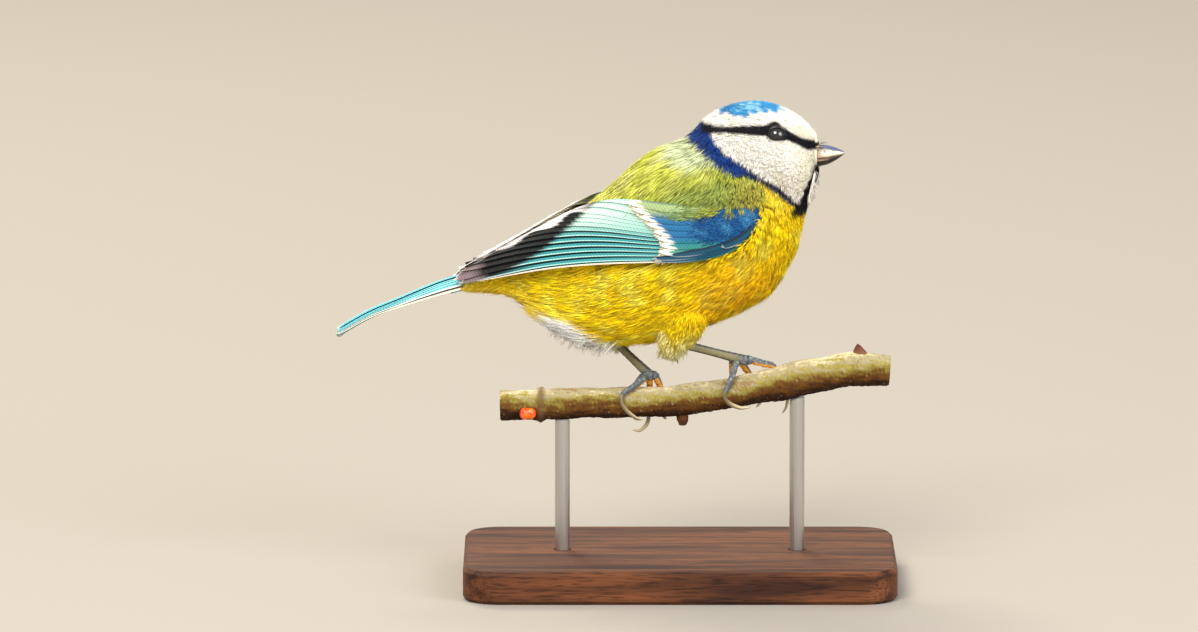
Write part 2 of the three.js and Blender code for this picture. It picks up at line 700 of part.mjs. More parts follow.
function perchTube(grow = 0) {
  const rings = [];
  for (let i = 0; i <= PERCH_STEPS; i += 1) {
    const [x] = interpolateRows(PERCH_ROWS, (i * (PERCH_ROWS.length - 1)) / PERCH_STEPS);
    const { centre, radius, up } = perchFrame(x);
    const ring = [];
    for (let j = 0; j < PERCH_SIDES; j += 1) {
      const angle = (2 * Math.PI * j) / PERCH_SIDES;
      const spoke = up.clone().multiplyScalar(Math.cos(angle));
      spoke.y += Math.sin(angle);
      ring.push(centre.clone().addScaledVector(spoke, radius + grow));
    }
    rings.push(ring);
  }
  return toSolid(loft(rings));
}

// The twig with the ring of a bud scar, a dead stub below and a resting bud on top.
function perch() {
  const scar = perchFrame(BUD_SCAR_X);
  const scarLine = [-1.0, 0, 1.0].map((shift) => scar.centre.clone().add(new THREE.Vector3(shift, 0, 0)));
  const scarRing = tube(scarLine, (share) => scar.radius + 0.2 + 0.5 * Math.sin(Math.PI * share), 14, 4);
  const stub = perchFrame(STUB_X);
  const stubLine = [1, -4.0, -5.6].map((drop) => stub.centre.clone().add(new THREE.Vector3(0, 0, drop)));
  const stubTube = tube(stubLine, (share) => 1.5 - 0.5 * share, 8, 3);
  const bud = perchFrame(TOP_BUD_X);
  const budLine = [2, 4.2, 5.4].map((rise) => bud.centre.clone().add(new THREE.Vector3(0.6 - rise * 0.2, 0, rise)));
  const budTube = tube(budLine, (share) => 1.5 - 1.0 * share, 8, 3);
  return [scarRing, stubTube, budTube].reduce((whole, piece) => whole.add(toSolid(piece)), perchTube());
}

function sideBud(grow = 0) {
  return toSolid(ellipsoid(SIDE_BUD.centre, SIDE_BUD.radii.map((r) => r + grow), 10, 6));
}

function roundedPlate([width, depth, height], corner, bevel) {
  const halfX = width / 2 - bevel;
  const halfY = depth / 2 - bevel;
  const shape = new THREE.Shape();
  shape.moveTo(-halfX + corner, -halfY);
  shape.lineTo(halfX - corner, -halfY);
  shape.absarc(halfX - corner, -halfY + corner, corner, -Math.PI / 2, 0, false);
  shape.absarc(halfX - corner, halfY - corner, corner, 0, Math.PI / 2, false);
  shape.absarc(-halfX + corner, halfY - corner, corner, Math.PI / 2, Math.PI, false);
  shape.absarc(-halfX + corner, -halfY + corner, corner, Math.PI, 1.5 * Math.PI, false);
  const options = {
    depth: height - 2 * bevel,
    bevelSize: bevel,
    bevelThickness: bevel,
    bevelSegments: 1,
    curveSegments: 4,
  };
  const geometry = new THREE.ExtrudeGeometry(shape, options);
  geometry.translate(0, 0, bevel);
  return geometry;
}

function rod(x, grow = 0) {
  const foot = BASE_SIZE[2] - ROD_SINK - grow;
  const top = perchFrame(x).centre.z;
  const geometry = new THREE.CylinderGeometry(ROD_RADIUS + grow, ROD_RADIUS + grow, top - foot, 16);
  geometry.rotateX(Math.PI / 2);
  geometry.translate(x, 0, (top + foot) / 2);
  return toSolid(geometry);
}

const bird = new THREE.Group();

function material(color, roughness = 0.8, metalness = 0) {
  return new THREE.MeshStandardMaterial({ color, roughness, metalness, flatShading: true });
}

function addPart(name, solid, look) {
  const mesh = new THREE.Mesh(toGeometry(largestPiece(solid)), look);
  mesh.name = name;
  bird.add(mesh);
}

const collarFront = crossPlane(COLLAR_FRONT_CUT);
const collarRear = crossPlane(COLLAR_REAR_CUT);
const flank = crossPlane(FLANK_CUT);
const rumpFront = crossPlane(RUMP_CUT);
const whole = bodySolid();
const wingRooms = wingRoom('left').add(wingRoom('right'));

let head = ahead(whole, collarFront);
const crownCut = { normal: [0, 0, 1], offset: CROWN_HEIGHT };
addPart('crown', ahead(head, crownCut), material(0x4fa5d8));
head = behind(head, crownCut).add(lids('left')).add(lids('right'));
head = head.subtract(eye('left', GAP)).subtract(eye('right', GAP)).subtract(billRoom());
addPart('head', head, material(0xfff4e4));
addPart('eye_left', eye('left'), material(0x120d0a, 0.15));
addPart('eye_right', eye('right'), material(0x120d0a, 0.15));
const [nostrilRight, nostrilLeft] = nostrils();
addPart('bill_upper', billHalf(true).subtract(nostrilRight).subtract(nostrilLeft), material(0x4c4b55, 0.4));
addPart('bill_lower', billHalf(false), material(0x5a5860, 0.4));

addPart('neck', behind(ahead(whole, collarRear), collarFront).subtract(wingRooms), material(0x12265a));
const legRooms = ['left', 'right'].map((side) => thigh(side, GAP).add(tarsus(side, GAP)));
const trunk = behind(whole, collarRear).subtract(wingRooms).subtract(legRooms[0]).subtract(legRooms[1]);
addPart('rump', behind(trunk, rumpFront), material(0x9fb04a));
const torso = ahead(trunk, rumpFront);
addPart('mantle', behind(torso, flank), material(0xb5b84a));
addPart('belly', ahead(torso, flank), material(0xf2c500));

for (const side of ['right', 'left']) {
  addPart(`wing_${side}`, wing(side), material(0x4a9aa8));
}
addPart('tail', tail(), material(0x3f9bb8));

for (const side of ['right', 'left']) {
  addPart(`thigh_${side}`, thigh(side).subtract(tarsus(side, GAP)).subtract(wingRooms), material(0xffe04d));
  addPart(`tarsus_${side}`, tarsus(side), material(0x5a5f5a, 0.6));
  TOES[side].forEach((toe, i) => {
    addPart(`toe_${side}_${i + 1}`, toeSolid(side, toe), material(0x5f625c, 0.6));
    addPart(`claw_${side}_${i + 1}`, clawSolid(side, toe), material(0xa8935f, 0.4));
  });
}

addPart('perch', perch().subtract(sideBud(GAP)), material(0x8a8560));
addPart('perch_bud', sideBud(), material(0xe05020));
let base = toSolid(roundedPlate(BASE_SIZE, BASE_CORNER, BASE_BEVEL));
ROD_X.forEach((x, i) => {
  base = base.subtract(rod(x, GAP));
  addPart(`stand_rod_${i + 1}`, rod(x).subtract(perchTube(GAP)), material(0xb8b8b4, 0.35, 1));
});
addPart('stand_base', base, material(0x4a3020));

export default bird;
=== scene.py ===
# %% [markdown]
# # A blue tit on a twig, life size
# A museum bird is a shaped body with a skin over it and feathers that lie over one another from
# the bill to the tail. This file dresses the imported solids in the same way. Every surface is
# worked out in millimetres, in whole numpy arrays, and then put into a mesh in metres.
# The bird faces +X, its right side is towards -Y, and the origin is under the stand.
# %% Load the solids
import math
import bpy
import numpy as np
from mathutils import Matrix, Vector


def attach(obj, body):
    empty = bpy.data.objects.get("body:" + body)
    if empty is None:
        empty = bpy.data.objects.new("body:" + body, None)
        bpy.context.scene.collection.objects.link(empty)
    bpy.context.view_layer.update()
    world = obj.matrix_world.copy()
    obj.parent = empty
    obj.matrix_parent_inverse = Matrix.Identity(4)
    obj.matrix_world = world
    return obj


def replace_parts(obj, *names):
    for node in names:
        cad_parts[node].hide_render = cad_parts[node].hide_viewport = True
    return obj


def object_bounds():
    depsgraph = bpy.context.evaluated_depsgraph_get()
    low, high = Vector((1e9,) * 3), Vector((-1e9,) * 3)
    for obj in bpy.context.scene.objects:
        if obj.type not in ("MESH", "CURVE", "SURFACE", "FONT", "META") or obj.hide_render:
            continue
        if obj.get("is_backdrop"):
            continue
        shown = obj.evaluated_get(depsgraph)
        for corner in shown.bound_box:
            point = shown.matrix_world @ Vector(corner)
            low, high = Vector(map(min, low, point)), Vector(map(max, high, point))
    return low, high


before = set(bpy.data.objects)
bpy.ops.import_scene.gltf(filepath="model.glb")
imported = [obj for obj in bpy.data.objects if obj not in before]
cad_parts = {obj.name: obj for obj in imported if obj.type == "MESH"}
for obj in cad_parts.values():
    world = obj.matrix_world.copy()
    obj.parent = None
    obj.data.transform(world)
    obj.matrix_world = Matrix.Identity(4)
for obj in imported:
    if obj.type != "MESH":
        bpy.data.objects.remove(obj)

MM = 0.001
SIDES = {"right": -1, "left": 1}
FULL_TURN = 2 * math.pi
cad_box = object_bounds()
print("solids:", len(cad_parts), "nodes")

# %% [markdown]
# ## Small tools
# A surface in this file is a grid: rows run along the piece and columns run across or around it.
# These helpers blend rows of sizes, make soft noise, and turn a grid into faces.


# %% Numbers and noise
def smoothstep(value, low, high):
    """0 below low and 1 above high, with the cubic 3t^2 - 2t^3 between them."""
    t = np.clip((np.asarray(value, float) - low) / (high - low), 0, 1)
    return t * t * (3 - 2 * t)


def rows_at(rows, place):
    """Catmull-Rom blend of rows of numbers: place 2.5 lies halfway from row 2 to row 3."""
    rows = np.asarray(rows, float)
    padded = np.vstack([2 * rows[0] - rows[1], rows, 2 * rows[-1] - rows[-2]])
    place = np.asarray(place, float)
    k = np.clip(np.floor(place).astype(int), 0, len(rows) - 2)
    t = (place - k)[..., None]
    a, b, c, d = (padded[k + i] for i in range(4))
    return b + 0.5 * t * (c - a + t * (2 * a - 5 * b + 4 * c - d + t * (3 * b - 3 * c + d - a)))


def value_at(knots, place):
    """One number from (place, number) knots, joined by straight lines."""
    places, numbers = zip(*knots)
    return np.interp(place, places, numbers)


def unit(vectors):
    """Vectors divided by their own length."""
    return vectors / np.maximum(np.linalg.norm(vectors, axis=-1, keepdims=True), 1e-9)


def ripple(points, wavelength, seed, waves=14):
    """Soft noise from about -1 to 1: the mean of sine waves in random directions, made stronger."""
    draw = np.random.default_rng(seed)
    directions = unit(draw.normal(size=(waves, points.shape[-1])))
    stretch = draw.uniform(0.6, 1.6, waves) * FULL_TURN / wavelength
    phases = draw.uniform(0, FULL_TURN, waves)
    return np.sin(points @ (directions * stretch[:, None]).T + phases).sum(-1) / math.sqrt(waves)


# %% Grids, tubes and pieces
def grid_faces(rows, columns, closed=False):
    """Quads between neighbouring points of a grid; closed joins the last column to the first."""
    across = columns if closed else columns - 1
    i, j = np.meshgrid(np.arange(rows - 1), np.arange(across), indexing="ij")
    a = i * columns + j
    b = i * columns + (j + 1) % columns
    return np.stack([a, b, b + columns, a + columns], -1).reshape(-1, 4)


def round_grid(start, end, rows, columns):
    """Two measures on a grid: rows from start to end, and columns round a full turn."""
    turn = np.linspace(0, FULL_TURN, columns, endpoint=False)
    return np.meshgrid(np.linspace(start, end, rows), turn, indexing="ij")


def outward(points, face_sets):
    """The same faces, turned over where the volume that they enclose comes out negative."""
    volume = 0.0
    for faces in face_sets:
        for k in range(1, faces.shape[1] - 1):
            a, b, c = points[faces[:, 0]], points[faces[:, k]], points[faces[:, k + 1]]
            volume += np.einsum("ij,ij->i", a, np.cross(b, c)).sum()
    return face_sets if volume > 0 else [faces[:, ::-1] for faces in face_sets]


def closed_tube(rings):
    """Rings of points joined by quads, with a fan of triangles over each end."""
    rows, columns = rings.shape[:2]
    points = np.vstack([rings.reshape(-1, 3), rings[0].mean(0), rings[-1].mean(0)])
    j = np.arange(columns)
    k = (j + 1) % columns
    last = (rows - 1) * columns
    start = np.stack([k, j, np.full(columns, rows * columns)], 1)
    end = np.stack([last + j, last + k, np.full(columns, rows * columns + 1)], 1)
    return points, outward(points, [grid_faces(rows, columns, True), np.vstack([start, end])])


def slab_faces(rows, columns):
    """Faces of a thin plate: one grid on each side and a strip of quads round the edge."""
    top = grid_faces(rows, columns)
    back = rows * columns
    number = np.arange(back).reshape(rows, columns)
    rim = np.concatenate([number[0], number[1:, -1], number[-1, -2::-1], number[-2:0:-1, 0]])
    after = np.roll(rim, -1)
    edge = np.stack([after, rim, rim + back, after + back], 1)
    return np.vstack([top, top[:, ::-1] + back, edge])


def repeated(faces, count, points_each):
    """The faces of one piece, copied for count pieces whose points follow one another."""
    shift = np.arange(count)[:, None, None] * points_each
    return (faces[None] + shift).reshape(-1, faces.shape[1])


def joined(parts):
    """Several (points, face sets) put together as one, with the point numbers moved along."""
    points = np.vstack([p for p, _ in parts])
    starts = np.cumsum([0] + [len(p) for p, _ in parts])
    faces = [f + start for (_, sets), start in zip(parts, starts) for f in sets]
    return points, faces


def joined_colours(parts):
    """Several (points, face sets, colours) put together as one."""
    points, faces = joined([part[:2] for part in parts])
    return points, faces, np.vstack([part[2] for part in parts])


def make_piece(name, points, face_sets, material, colours=None, uv=None):
    """A mesh object at the origin. colours is one linear RGB a point, uv one pair a point."""
    mesh = bpy.data.meshes.new(name)
    loops = np.concatenate([faces.ravel() for faces in face_sets])
    sides = np.concatenate([np.full(len(faces), faces.shape[1]) for faces in face_sets])
    mesh.vertices.add(len(points))
    mesh.vertices.foreach_set("co", (points * MM).astype(np.float32).ravel())
    mesh.loops.add(len(loops))
    mesh.loops.foreach_set("vertex_index", loops.astype(np.int32))
    mesh.polygons.add(len(sides))
    mesh.polygons.foreach_set("loop_start", (np.cumsum(sides) - sides).astype(np.int32))
    mesh.update(calc_edges=True)
    mesh.shade_smooth()
    if colours is not None:
        rgba = np.ones((len(points), 4), np.float32)
        rgba[:, :3] = np.clip(colours, 0, 1)
        layer = mesh.attributes.new("paint", "FLOAT_COLOR", "POINT")
        layer.data.foreach_set("color", rgba.ravel())
    if uv is not None:
        layer = mesh.uv_layers.new(name=uv[0])
        layer.data.foreach_set("uv", uv[1][loops].astype(np.float32).ravel())
    mesh.materials.append(material)
    obj = bpy.data.objects.new(name, mesh)
    bpy.context.scene.collection.objects.link(obj)
    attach(obj, "root")
    print(name, len(points), "points,", int((sides - 2).sum()), "triangles")
    return obj


# %% [markdown]
# ## Paths for tubes
# A leg, a toe and the twig are all a profile carried along a path. The path is a smooth curve
# through a few points, read off at even steps of its length. Each step carries three directions:
# along the path, outwards, and sideways.


# %% Paths
def smooth_path(knots, count, start=0.0, end=1.0):
    """count points at even lengths from share start to share end of the curve through the knots."""
    fine = rows_at(knots, np.linspace(0, len(knots) - 1, 400))
    length = np.concatenate([[0], np.cumsum(np.linalg.norm(np.diff(fine, axis=0), axis=1))])
    wanted = np.linspace(start, end, count) * length[-1]
    return np.stack([np.interp(wanted, length, fine[:, i]) for i in range(3)], 1)


def sweep(path, away, out_radius, side_radius, columns, lump=None):
    """Rings round a path: centre + out*cos*r1 + side*sin*r2, with lump(row, angle) added to both."""
    along = unit(np.gradient(path, axis=0))
    out = unit(away - along * (away * along).sum(-1, keepdims=True))
    side = np.cross(along, out)
    angle = np.linspace(0, FULL_TURN, columns, endpoint=False)
    share = np.linspace(0, 1, len(path))[:, None]
    extra = lump(share, angle[None]) if lump else 0.0
    r_out = np.broadcast_to(np.reshape(out_radius, (-1, 1)), (len(path), 1)) + extra
    r_side = np.broadcast_to(np.reshape(side_radius, (-1, 1)), (len(path), 1)) + extra
    return (
        path[:, None]
        + out[:, None] * (np.cos(angle) * r_out)[..., None]
        + side[:, None] * (np.sin(angle) * r_side)[..., None]
    )


# %% [markdown]
# ## Colours and nodes
# Colours are written as sRGB hex values, as a paint chart gives them, and turned to the linear
# values that a renderer adds and multiplies. One helper adds a node with its settings and links.


# %% Colour and node helpers
def linear(hex_colour):
    """sRGB hex to linear: v/12.92 in the darks, ((v+0.055)/1.055)^2.4 above them."""
    value = np.array([int(hex_colour[i:i + 2], 16) / 255 for i in (1, 3, 5)])
    return np.where(value <= 0.04045, value / 12.92, ((value + 0.055) / 1.055) ** 2.4)


def rgba(hex_colour):
    """The linear colour with full opacity, for a socket."""
    return (*linear(hex_colour), 1.0)


def add(tree, kind, inputs=None, **settings):
    """Adds a ShaderNode of this kind. settings are its own properties; inputs hold a value or an
    output to link."""
    node = tree.nodes.new("ShaderNode" + kind)
    for key, value in settings.items():
        setattr(node, key, value)
    for key, value in (inputs or {}).items():
        if isinstance(value, bpy.types.NodeSocket):
            tree.links.new(value, node.inputs[key])
        else:
            node.inputs[key].default_value = value
    return node


# A Mix node that multiplies two colours: its sockets 6 and 7 take them and 0 takes the share.
MULTIPLY = {"data_type": "RGBA", "blend_type": "MULTIPLY"}


def start_material(name):
    """An empty node material, its tree, and the coordinates of the object in metres."""
    material = bpy.data.materials.new(name)
    material.use_nodes = True
    tree = material.node_tree
    tree.nodes.clear()
    return material, tree, add(tree, "TexCoord").outputs["Object"]


def finish_material(tree, inputs):
    """The surface shader, with its sockets set or linked, joined to the output."""
    shader = add(tree, "BsdfPrincipled", inputs)
    add(tree, "OutputMaterial", {"Surface": shader.outputs["BSDF"]})


def finish_painted(tree, grain, span, relief, shader):
    """The surface shader over the painted colour, with a grain that shades it and stands out."""
    colour = add(tree, "Attribute", attribute_name="paint").outputs["Color"]
    level = add(tree, "MapRange", {"Value": grain, **span})
    mixed = add(tree, "Mix", {0: 1.0, 6: colour, 7: level.outputs["Result"]}, **MULTIPLY)
    bump = add(tree, "Bump", {"Height": grain, **relief})
    finish_material(tree, {"Base Color": mixed.outputs[2], "Normal": bump.outputs["Normal"], **shader})


# %% [markdown]
# ## Camera
# The photo was taken with a long lens from a little above, looking at the bird's right side.
# 300 mm on a 36 mm frame gives 255 mm of width at 2.12 m, which is the photo's own scale of
# 4.7 pixels to the millimetre.
# %% Camera
VIEW_HEIGHT = math.radians(9)
VIEW_TARGET = np.array([-0.0172, 0.0, 0.0574])
VIEW_DISTANCE = 2.124
view_back = np.array([0.0, -math.cos(VIEW_HEIGHT), math.sin(VIEW_HEIGHT)])
camera = bpy.data.objects.new("camera", bpy.data.cameras.new("camera"))
camera.data.lens = 300
camera.data.sensor_width = 36
camera.data.clip_end = 20
camera.location = VIEW_TARGET + view_back * VIEW_DISTANCE
camera.rotation_euler = (math.pi / 2 - VIEW_HEIGHT, 0, 0)
bpy.context.scene.collection.objects.link(camera)
bpy.context.scene.camera = camera
bpy.context.scene.view_settings.view_transform = "Standard"
print("camera at", [round(v, 3) for v in camera.location])

# %% [markdown]
# ## Light and floor
# The key light stands high on the camera's side, a little towards the tail. A rim light from
# beyond the back brightens the mantle as in the photo, and a wide fill comes from in front.
# Large area lights give soft edges. The floor is a plain sheet of grey paper.


# %% Lights, world and floor
LIT_POINT = Vector((0.0, 0.0, 0.07))


def area_light(name, place, size, power, colour):
    """A square light that faces the bird."""
    light = bpy.data.objects.new(name, bpy.data.lights.new(name, "AREA"))
    light.data.size = size
    light.data.energy = power
    light.data.color = linear(colour)
    light.location = place
    light.rotation_euler = (LIT_POINT - light.location).to_track_quat("-Z", "Y").to_euler()
    bpy.context.scene.collection.objects.link(light)


area_light("key", (-0.4, -1.15, 1.15), 0.7, 28, "#FFF9F0")
area_light("rim", (-0.5, 0.9, 1.2), 0.6, 18, "#FFF3DC")
area_light("fill", (1.2, -1.15, 0.8), 1.0, 24, "#FAFAFF")

world = bpy.data.worlds.new("studio")
world.use_nodes = True
world.node_tree.nodes["Background"].inputs["Color"].default_value = rgba("#F6F2EC")
world.node_tree.nodes["Background"].inputs["Strength"].default_value = 0.9
bpy.context.scene.world = world

# A dull paper with a faint grain, so that the floor shows no reflection of its own.
material, tree, place = start_material("floor_paper")
grain = add(tree, "TexNoise", {"Vector": place, "Scale": 900.0, "Detail": 2.0})
relief = add(tree, "Bump", {"Height": grain.outputs["Fac"], "Distance": 0.00005})
shader = {"Base Color": rgba("#9C978F"), "Roughness": 0.9, "Normal": relief.outputs["Normal"]}
finish_material(tree, shader)
floor_mesh = bpy.data.meshes.new("floor")
reach = 3.0
corners = [(-reach, -reach, 0), (reach, -reach, 0), (reach, reach, 0), (-reach, reach, 0)]
floor_mesh.from_pydata(corners, [], [(0, 1, 2, 3)])
floor_mesh.materials.append(material)
floor = bpy.data.objects.new("floor", floor_mesh)
bpy.context.scene.collection.objects.link(floor)
floor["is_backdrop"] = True

# %% [markdown]
# ## The body's form
# The body is one smooth surface of two parameters. The first is a place from the tail root (0)
# to the bill (18), and the second is an angle round the body, 0 on the back and half a turn on
# the belly. Each row holds the point on the back, the point on the belly and half the width.
# %% Body rows
BODY = [
    (-45.5, 65.0, -44.7, 62.6, 3.4),
    (-38.7, 68.7, -36.6, 61.5, 5.0),
    (-32.1, 72.5, -29.6, 56.8, 7.4),
    (-26.0, 76.4, -21.9, 52.5, 9.8),
    (-19.8, 81.1, -14.0, 50.8, 12.2),
    (-14.0, 86.5, -4.3, 51.6, 14.0),
    (-8.3, 91.6, 4.9, 54.6, 15.0),
    (-3.4, 94.4, 13.2, 58.1, 15.2),
    (0.0, 95.6, 19.6, 62.2, 14.6),
    (1.9, 96.7, 23.2, 67.6, 13.4),
    (3.4, 98.2, 25.5, 72.7, 12.0),
    (4.3, 99.5, 26.4, 77.3, 10.4),
    (7.2, 101.4, 27.0, 79.9, 10.2),
    (11.3, 103.0, 27.7, 82.0, 10.1),
    (16.4, 103.7, 28.3, 84.2, 9.8),
    (21.1, 102.7, 28.9, 86.1, 8.7),
    (24.9, 100.7, 29.6, 88.1, 6.9),
    (27.7, 98.2, 29.7, 89.5, 4.9),
    (29.4, 95.8, 29.5, 90.2, 3.1),
]
LAST_PLACE = len(BODY) - 1
NECK_LINE = np.array([0.64, 0.0, 0.77])


def body_at(place, angle):
    """Point on the outer form: back + (belly - back)(1 - cos)/2, and sideways width * sin."""
    row = rows_at(BODY, np.clip(place, -0.3, LAST_PLACE))
    share = (1 - np.cos(angle)) / 2
    x = row[..., 0] + (row[..., 2] - row[..., 0]) * share
    z = row[..., 1] + (row[..., 3] - row[..., 1]) * share
    return np.stack([x, row[..., 4] * np.sin(angle), z], -1)


def turn_head(points):
    """The head's turn of 8 degrees to the bird's right, a twist that grows up the neck."""
    climb = (points - np.array([0.0, 0.0, 72.0])) @ NECK_LINE
    angle = -math.radians(8) * smoothstep(climb, 21, 30)
    x = points[..., 0] - 14
    y = points[..., 1]
    turned_x = 14 + x * np.cos(angle) - y * np.sin(angle)
    return np.stack([turned_x, x * np.sin(angle) + y * np.cos(angle), points[..., 2]], -1)


def side_of(point_a, point_b, points):
    """How far points lie above the line through two points (x, z) of the side view."""
    (ax, az), (bx, bz) = point_a, point_b
    length = math.hypot(bx - ax, bz - az)
    return ((bx - ax) * (points[..., 2] - az) - (bz - az) * (points[..., 0] - ax)) / length


def coat_depth(place, angle):
    """Millimetres from the tips of the coat to the skin: thin on the face, deep on the belly."""
    base = value_at([(0, 0.7), (2, 1.3), (5, 1.6), (9, 1.5), (12, 1.0), (15, 0.7), (18, 0.45)], place)
    deep = value_at([(0, 0.0), (2, 0.9), (8, 0.8), (11, 0.2), (18, 0.0)], place)
    return base + deep * (1 - np.cos(angle)) / 2


# %% [markdown]
# ## The markings
# A marking is an outline drawn on the side view of the bird before its head is turned, in
# millimetres along (x) and up (z), and both sides carry the same. The mask of an outline is a
# soft step on the distance to its nearest side. Skin and feathers ask the same function for
# their colour, so they always agree.


# %% Masks
def inside(points, outline, soft):
    """1 within an outline (x, z) and 0 outside it, from the signed distance to its nearest side."""
    a = np.asarray(outline, float)
    step = np.roll(a, -1, 0) - a
    x = points[:, 0, None] - a[:, 0]
    z = points[:, 2, None] - a[:, 1]
    t = np.clip((x * step[:, 0] + z * step[:, 1]) / (step ** 2).sum(1), 0, 1)
    distance = np.hypot(x - t * step[:, 0], z - t * step[:, 1]).min(1)
    rising = (z >= 0) != (z >= step[:, 1])
    slope = step[:, 0] / np.where(np.abs(step[:, 1]) < 1e-6, 1e-6, step[:, 1])
    within = (rising & (x < z * slope)).sum(1) % 2 == 1
    return smoothstep(np.where(within, distance, -distance), -soft, soft)


def along_line(points, line, soft):
    """1 within a line's own half-width (x, z, half) and 0 outside it, softly."""
    a = np.asarray(line, float)[:-1]
    step = np.diff(np.asarray(line, float), axis=0)
    x = points[:, 0, None] - a[:, 0]
    z = points[:, 2, None] - a[:, 1]
    t = np.clip((x * step[:, 0] + z * step[:, 1]) / (step[:, :2] ** 2).sum(1), 0, 1)
    distance = np.hypot(x - t * step[:, 0], z - t * step[:, 1]) - (a[:, 2] + t * step[:, 2])
    return 1 - smoothstep(distance.min(1), -soft, soft)


def painted(colour, over, mask):
    """One colour laid over another where the mask is 1. Each is a hex value or one row a point."""
    colour, over = (linear(c) if isinstance(c, str) else c for c in (colour, over))
    return colour + (over - colour) * mask[:, None]


# %% Outlines of the markings
EYE_STRIPE = [
    (30.5, 94.2, 0.5), (28.3, 94.8, 0.85), (26.4, 95.9, 0.65), (24.5, 97.0, 0.75), (21.2, 98.35, 1.6),
    (19.3, 98.4, 0.95), (15.1, 98.5, 0.8), (11.7, 98.4, 0.6), (8.6, 98.4, 0.6), (6.0, 98.6, 0.9),
]
COLLAR = [
    (1.6, 97.4), (2.6, 96.4), (4.3, 94.9), (6.4, 93.2), (8.3, 91.6), (10.1, 90.4), (12.2, 89.4),
    (14.5, 89.2), (17.3, 88.2), (20.5, 86.2), (24.5, 82.4), (24.9, 83.1), (21.8, 86.8), (19.7, 88.0),
    (17.5, 89.0), (15.5, 90.4), (13.2, 92.0), (11.2, 93.2), (9.1, 94.8), (7.6, 96.4), (6.9, 98.0),
    (5.6, 99.4), (4.0, 99.2),
]
NAPE = [(1.8, 97.6), (-2.0, 95.4), (-1.0, 92.6), (3.0, 91.0), (6.5, 91.6), (8.3, 91.8), (4.3, 95.0)]
YELLOW = [
    (26.5, 80.6), (24.5, 82.6), (20.5, 86.4), (17.0, 89.2), (16.8, 88.2), (18.2, 86.6), (18.6, 84.6),
    (14.6, 82.2), (9.0, 79.0), (3.0, 75.0), (-6.0, 73.6), (-20.0, 72.4), (-34.0, 67.6), (-48.0, 63.6),
    (-48.0, 40.0), (40.0, 40.0), (40.0, 80.0),
]
SCAPULARS = [(-8.0, 80.0), (-4.0, 84.5), (2.0, 87.8), (9.0, 89.2), (16.5, 87.6), (17.5, 84.0), (8.5, 79.0)]
VENT = [
    (-25.5, 57.4), (-21.5, 57.0), (-14.0, 53.0), (-10.0, 51.2), (-12.0, 48.0), (-21.0, 48.0), (-27.5, 54.6),
]
UNDERTAIL = [(-50.0, 66.0), (-36.0, 63.5), (-28.5, 60.6), (-27.0, 55.0), (-40.0, 55.0), (-50.0, 60.0)]
CAP_CENTRE = (15.8, 0.0)
CAP_HALF = (6.7, 5.6)
BIB_CENTRE_Y = -1.8
# The middle of the left eye on the head's surface, the way that it faces, and the half-lengths
# of the ellipse round it that feathers leave clear.
EYE_POINT = np.array([21.6, 8.63, 97.75])
EYE_OUT = np.array([0.16, 0.92, 0.35])
EYE_CLEAR = (1.62, 1.25)


def mirrored(points):
    """The same points with both sides folded on to the left side."""
    return points * np.array([1.0, 0, 1.0]) + np.abs(points[..., 1:2]) * np.array([0, 1.0, 0])


def eye_reach(points):
    """Distance from the middle of the nearer eye as a share of its opening, which is an ellipse."""
    out = EYE_OUT / np.linalg.norm(EYE_OUT)
    up = unit(np.array([0, 0, 1.0]) - out * out[2])
    offset = mirrored(points) - EYE_POINT
    ahead = np.cross(up, out)
    return np.hypot(offset @ ahead / EYE_CLEAR[0], offset @ up / EYE_CLEAR[1]) + 9.0 * (offset @ out < -4)


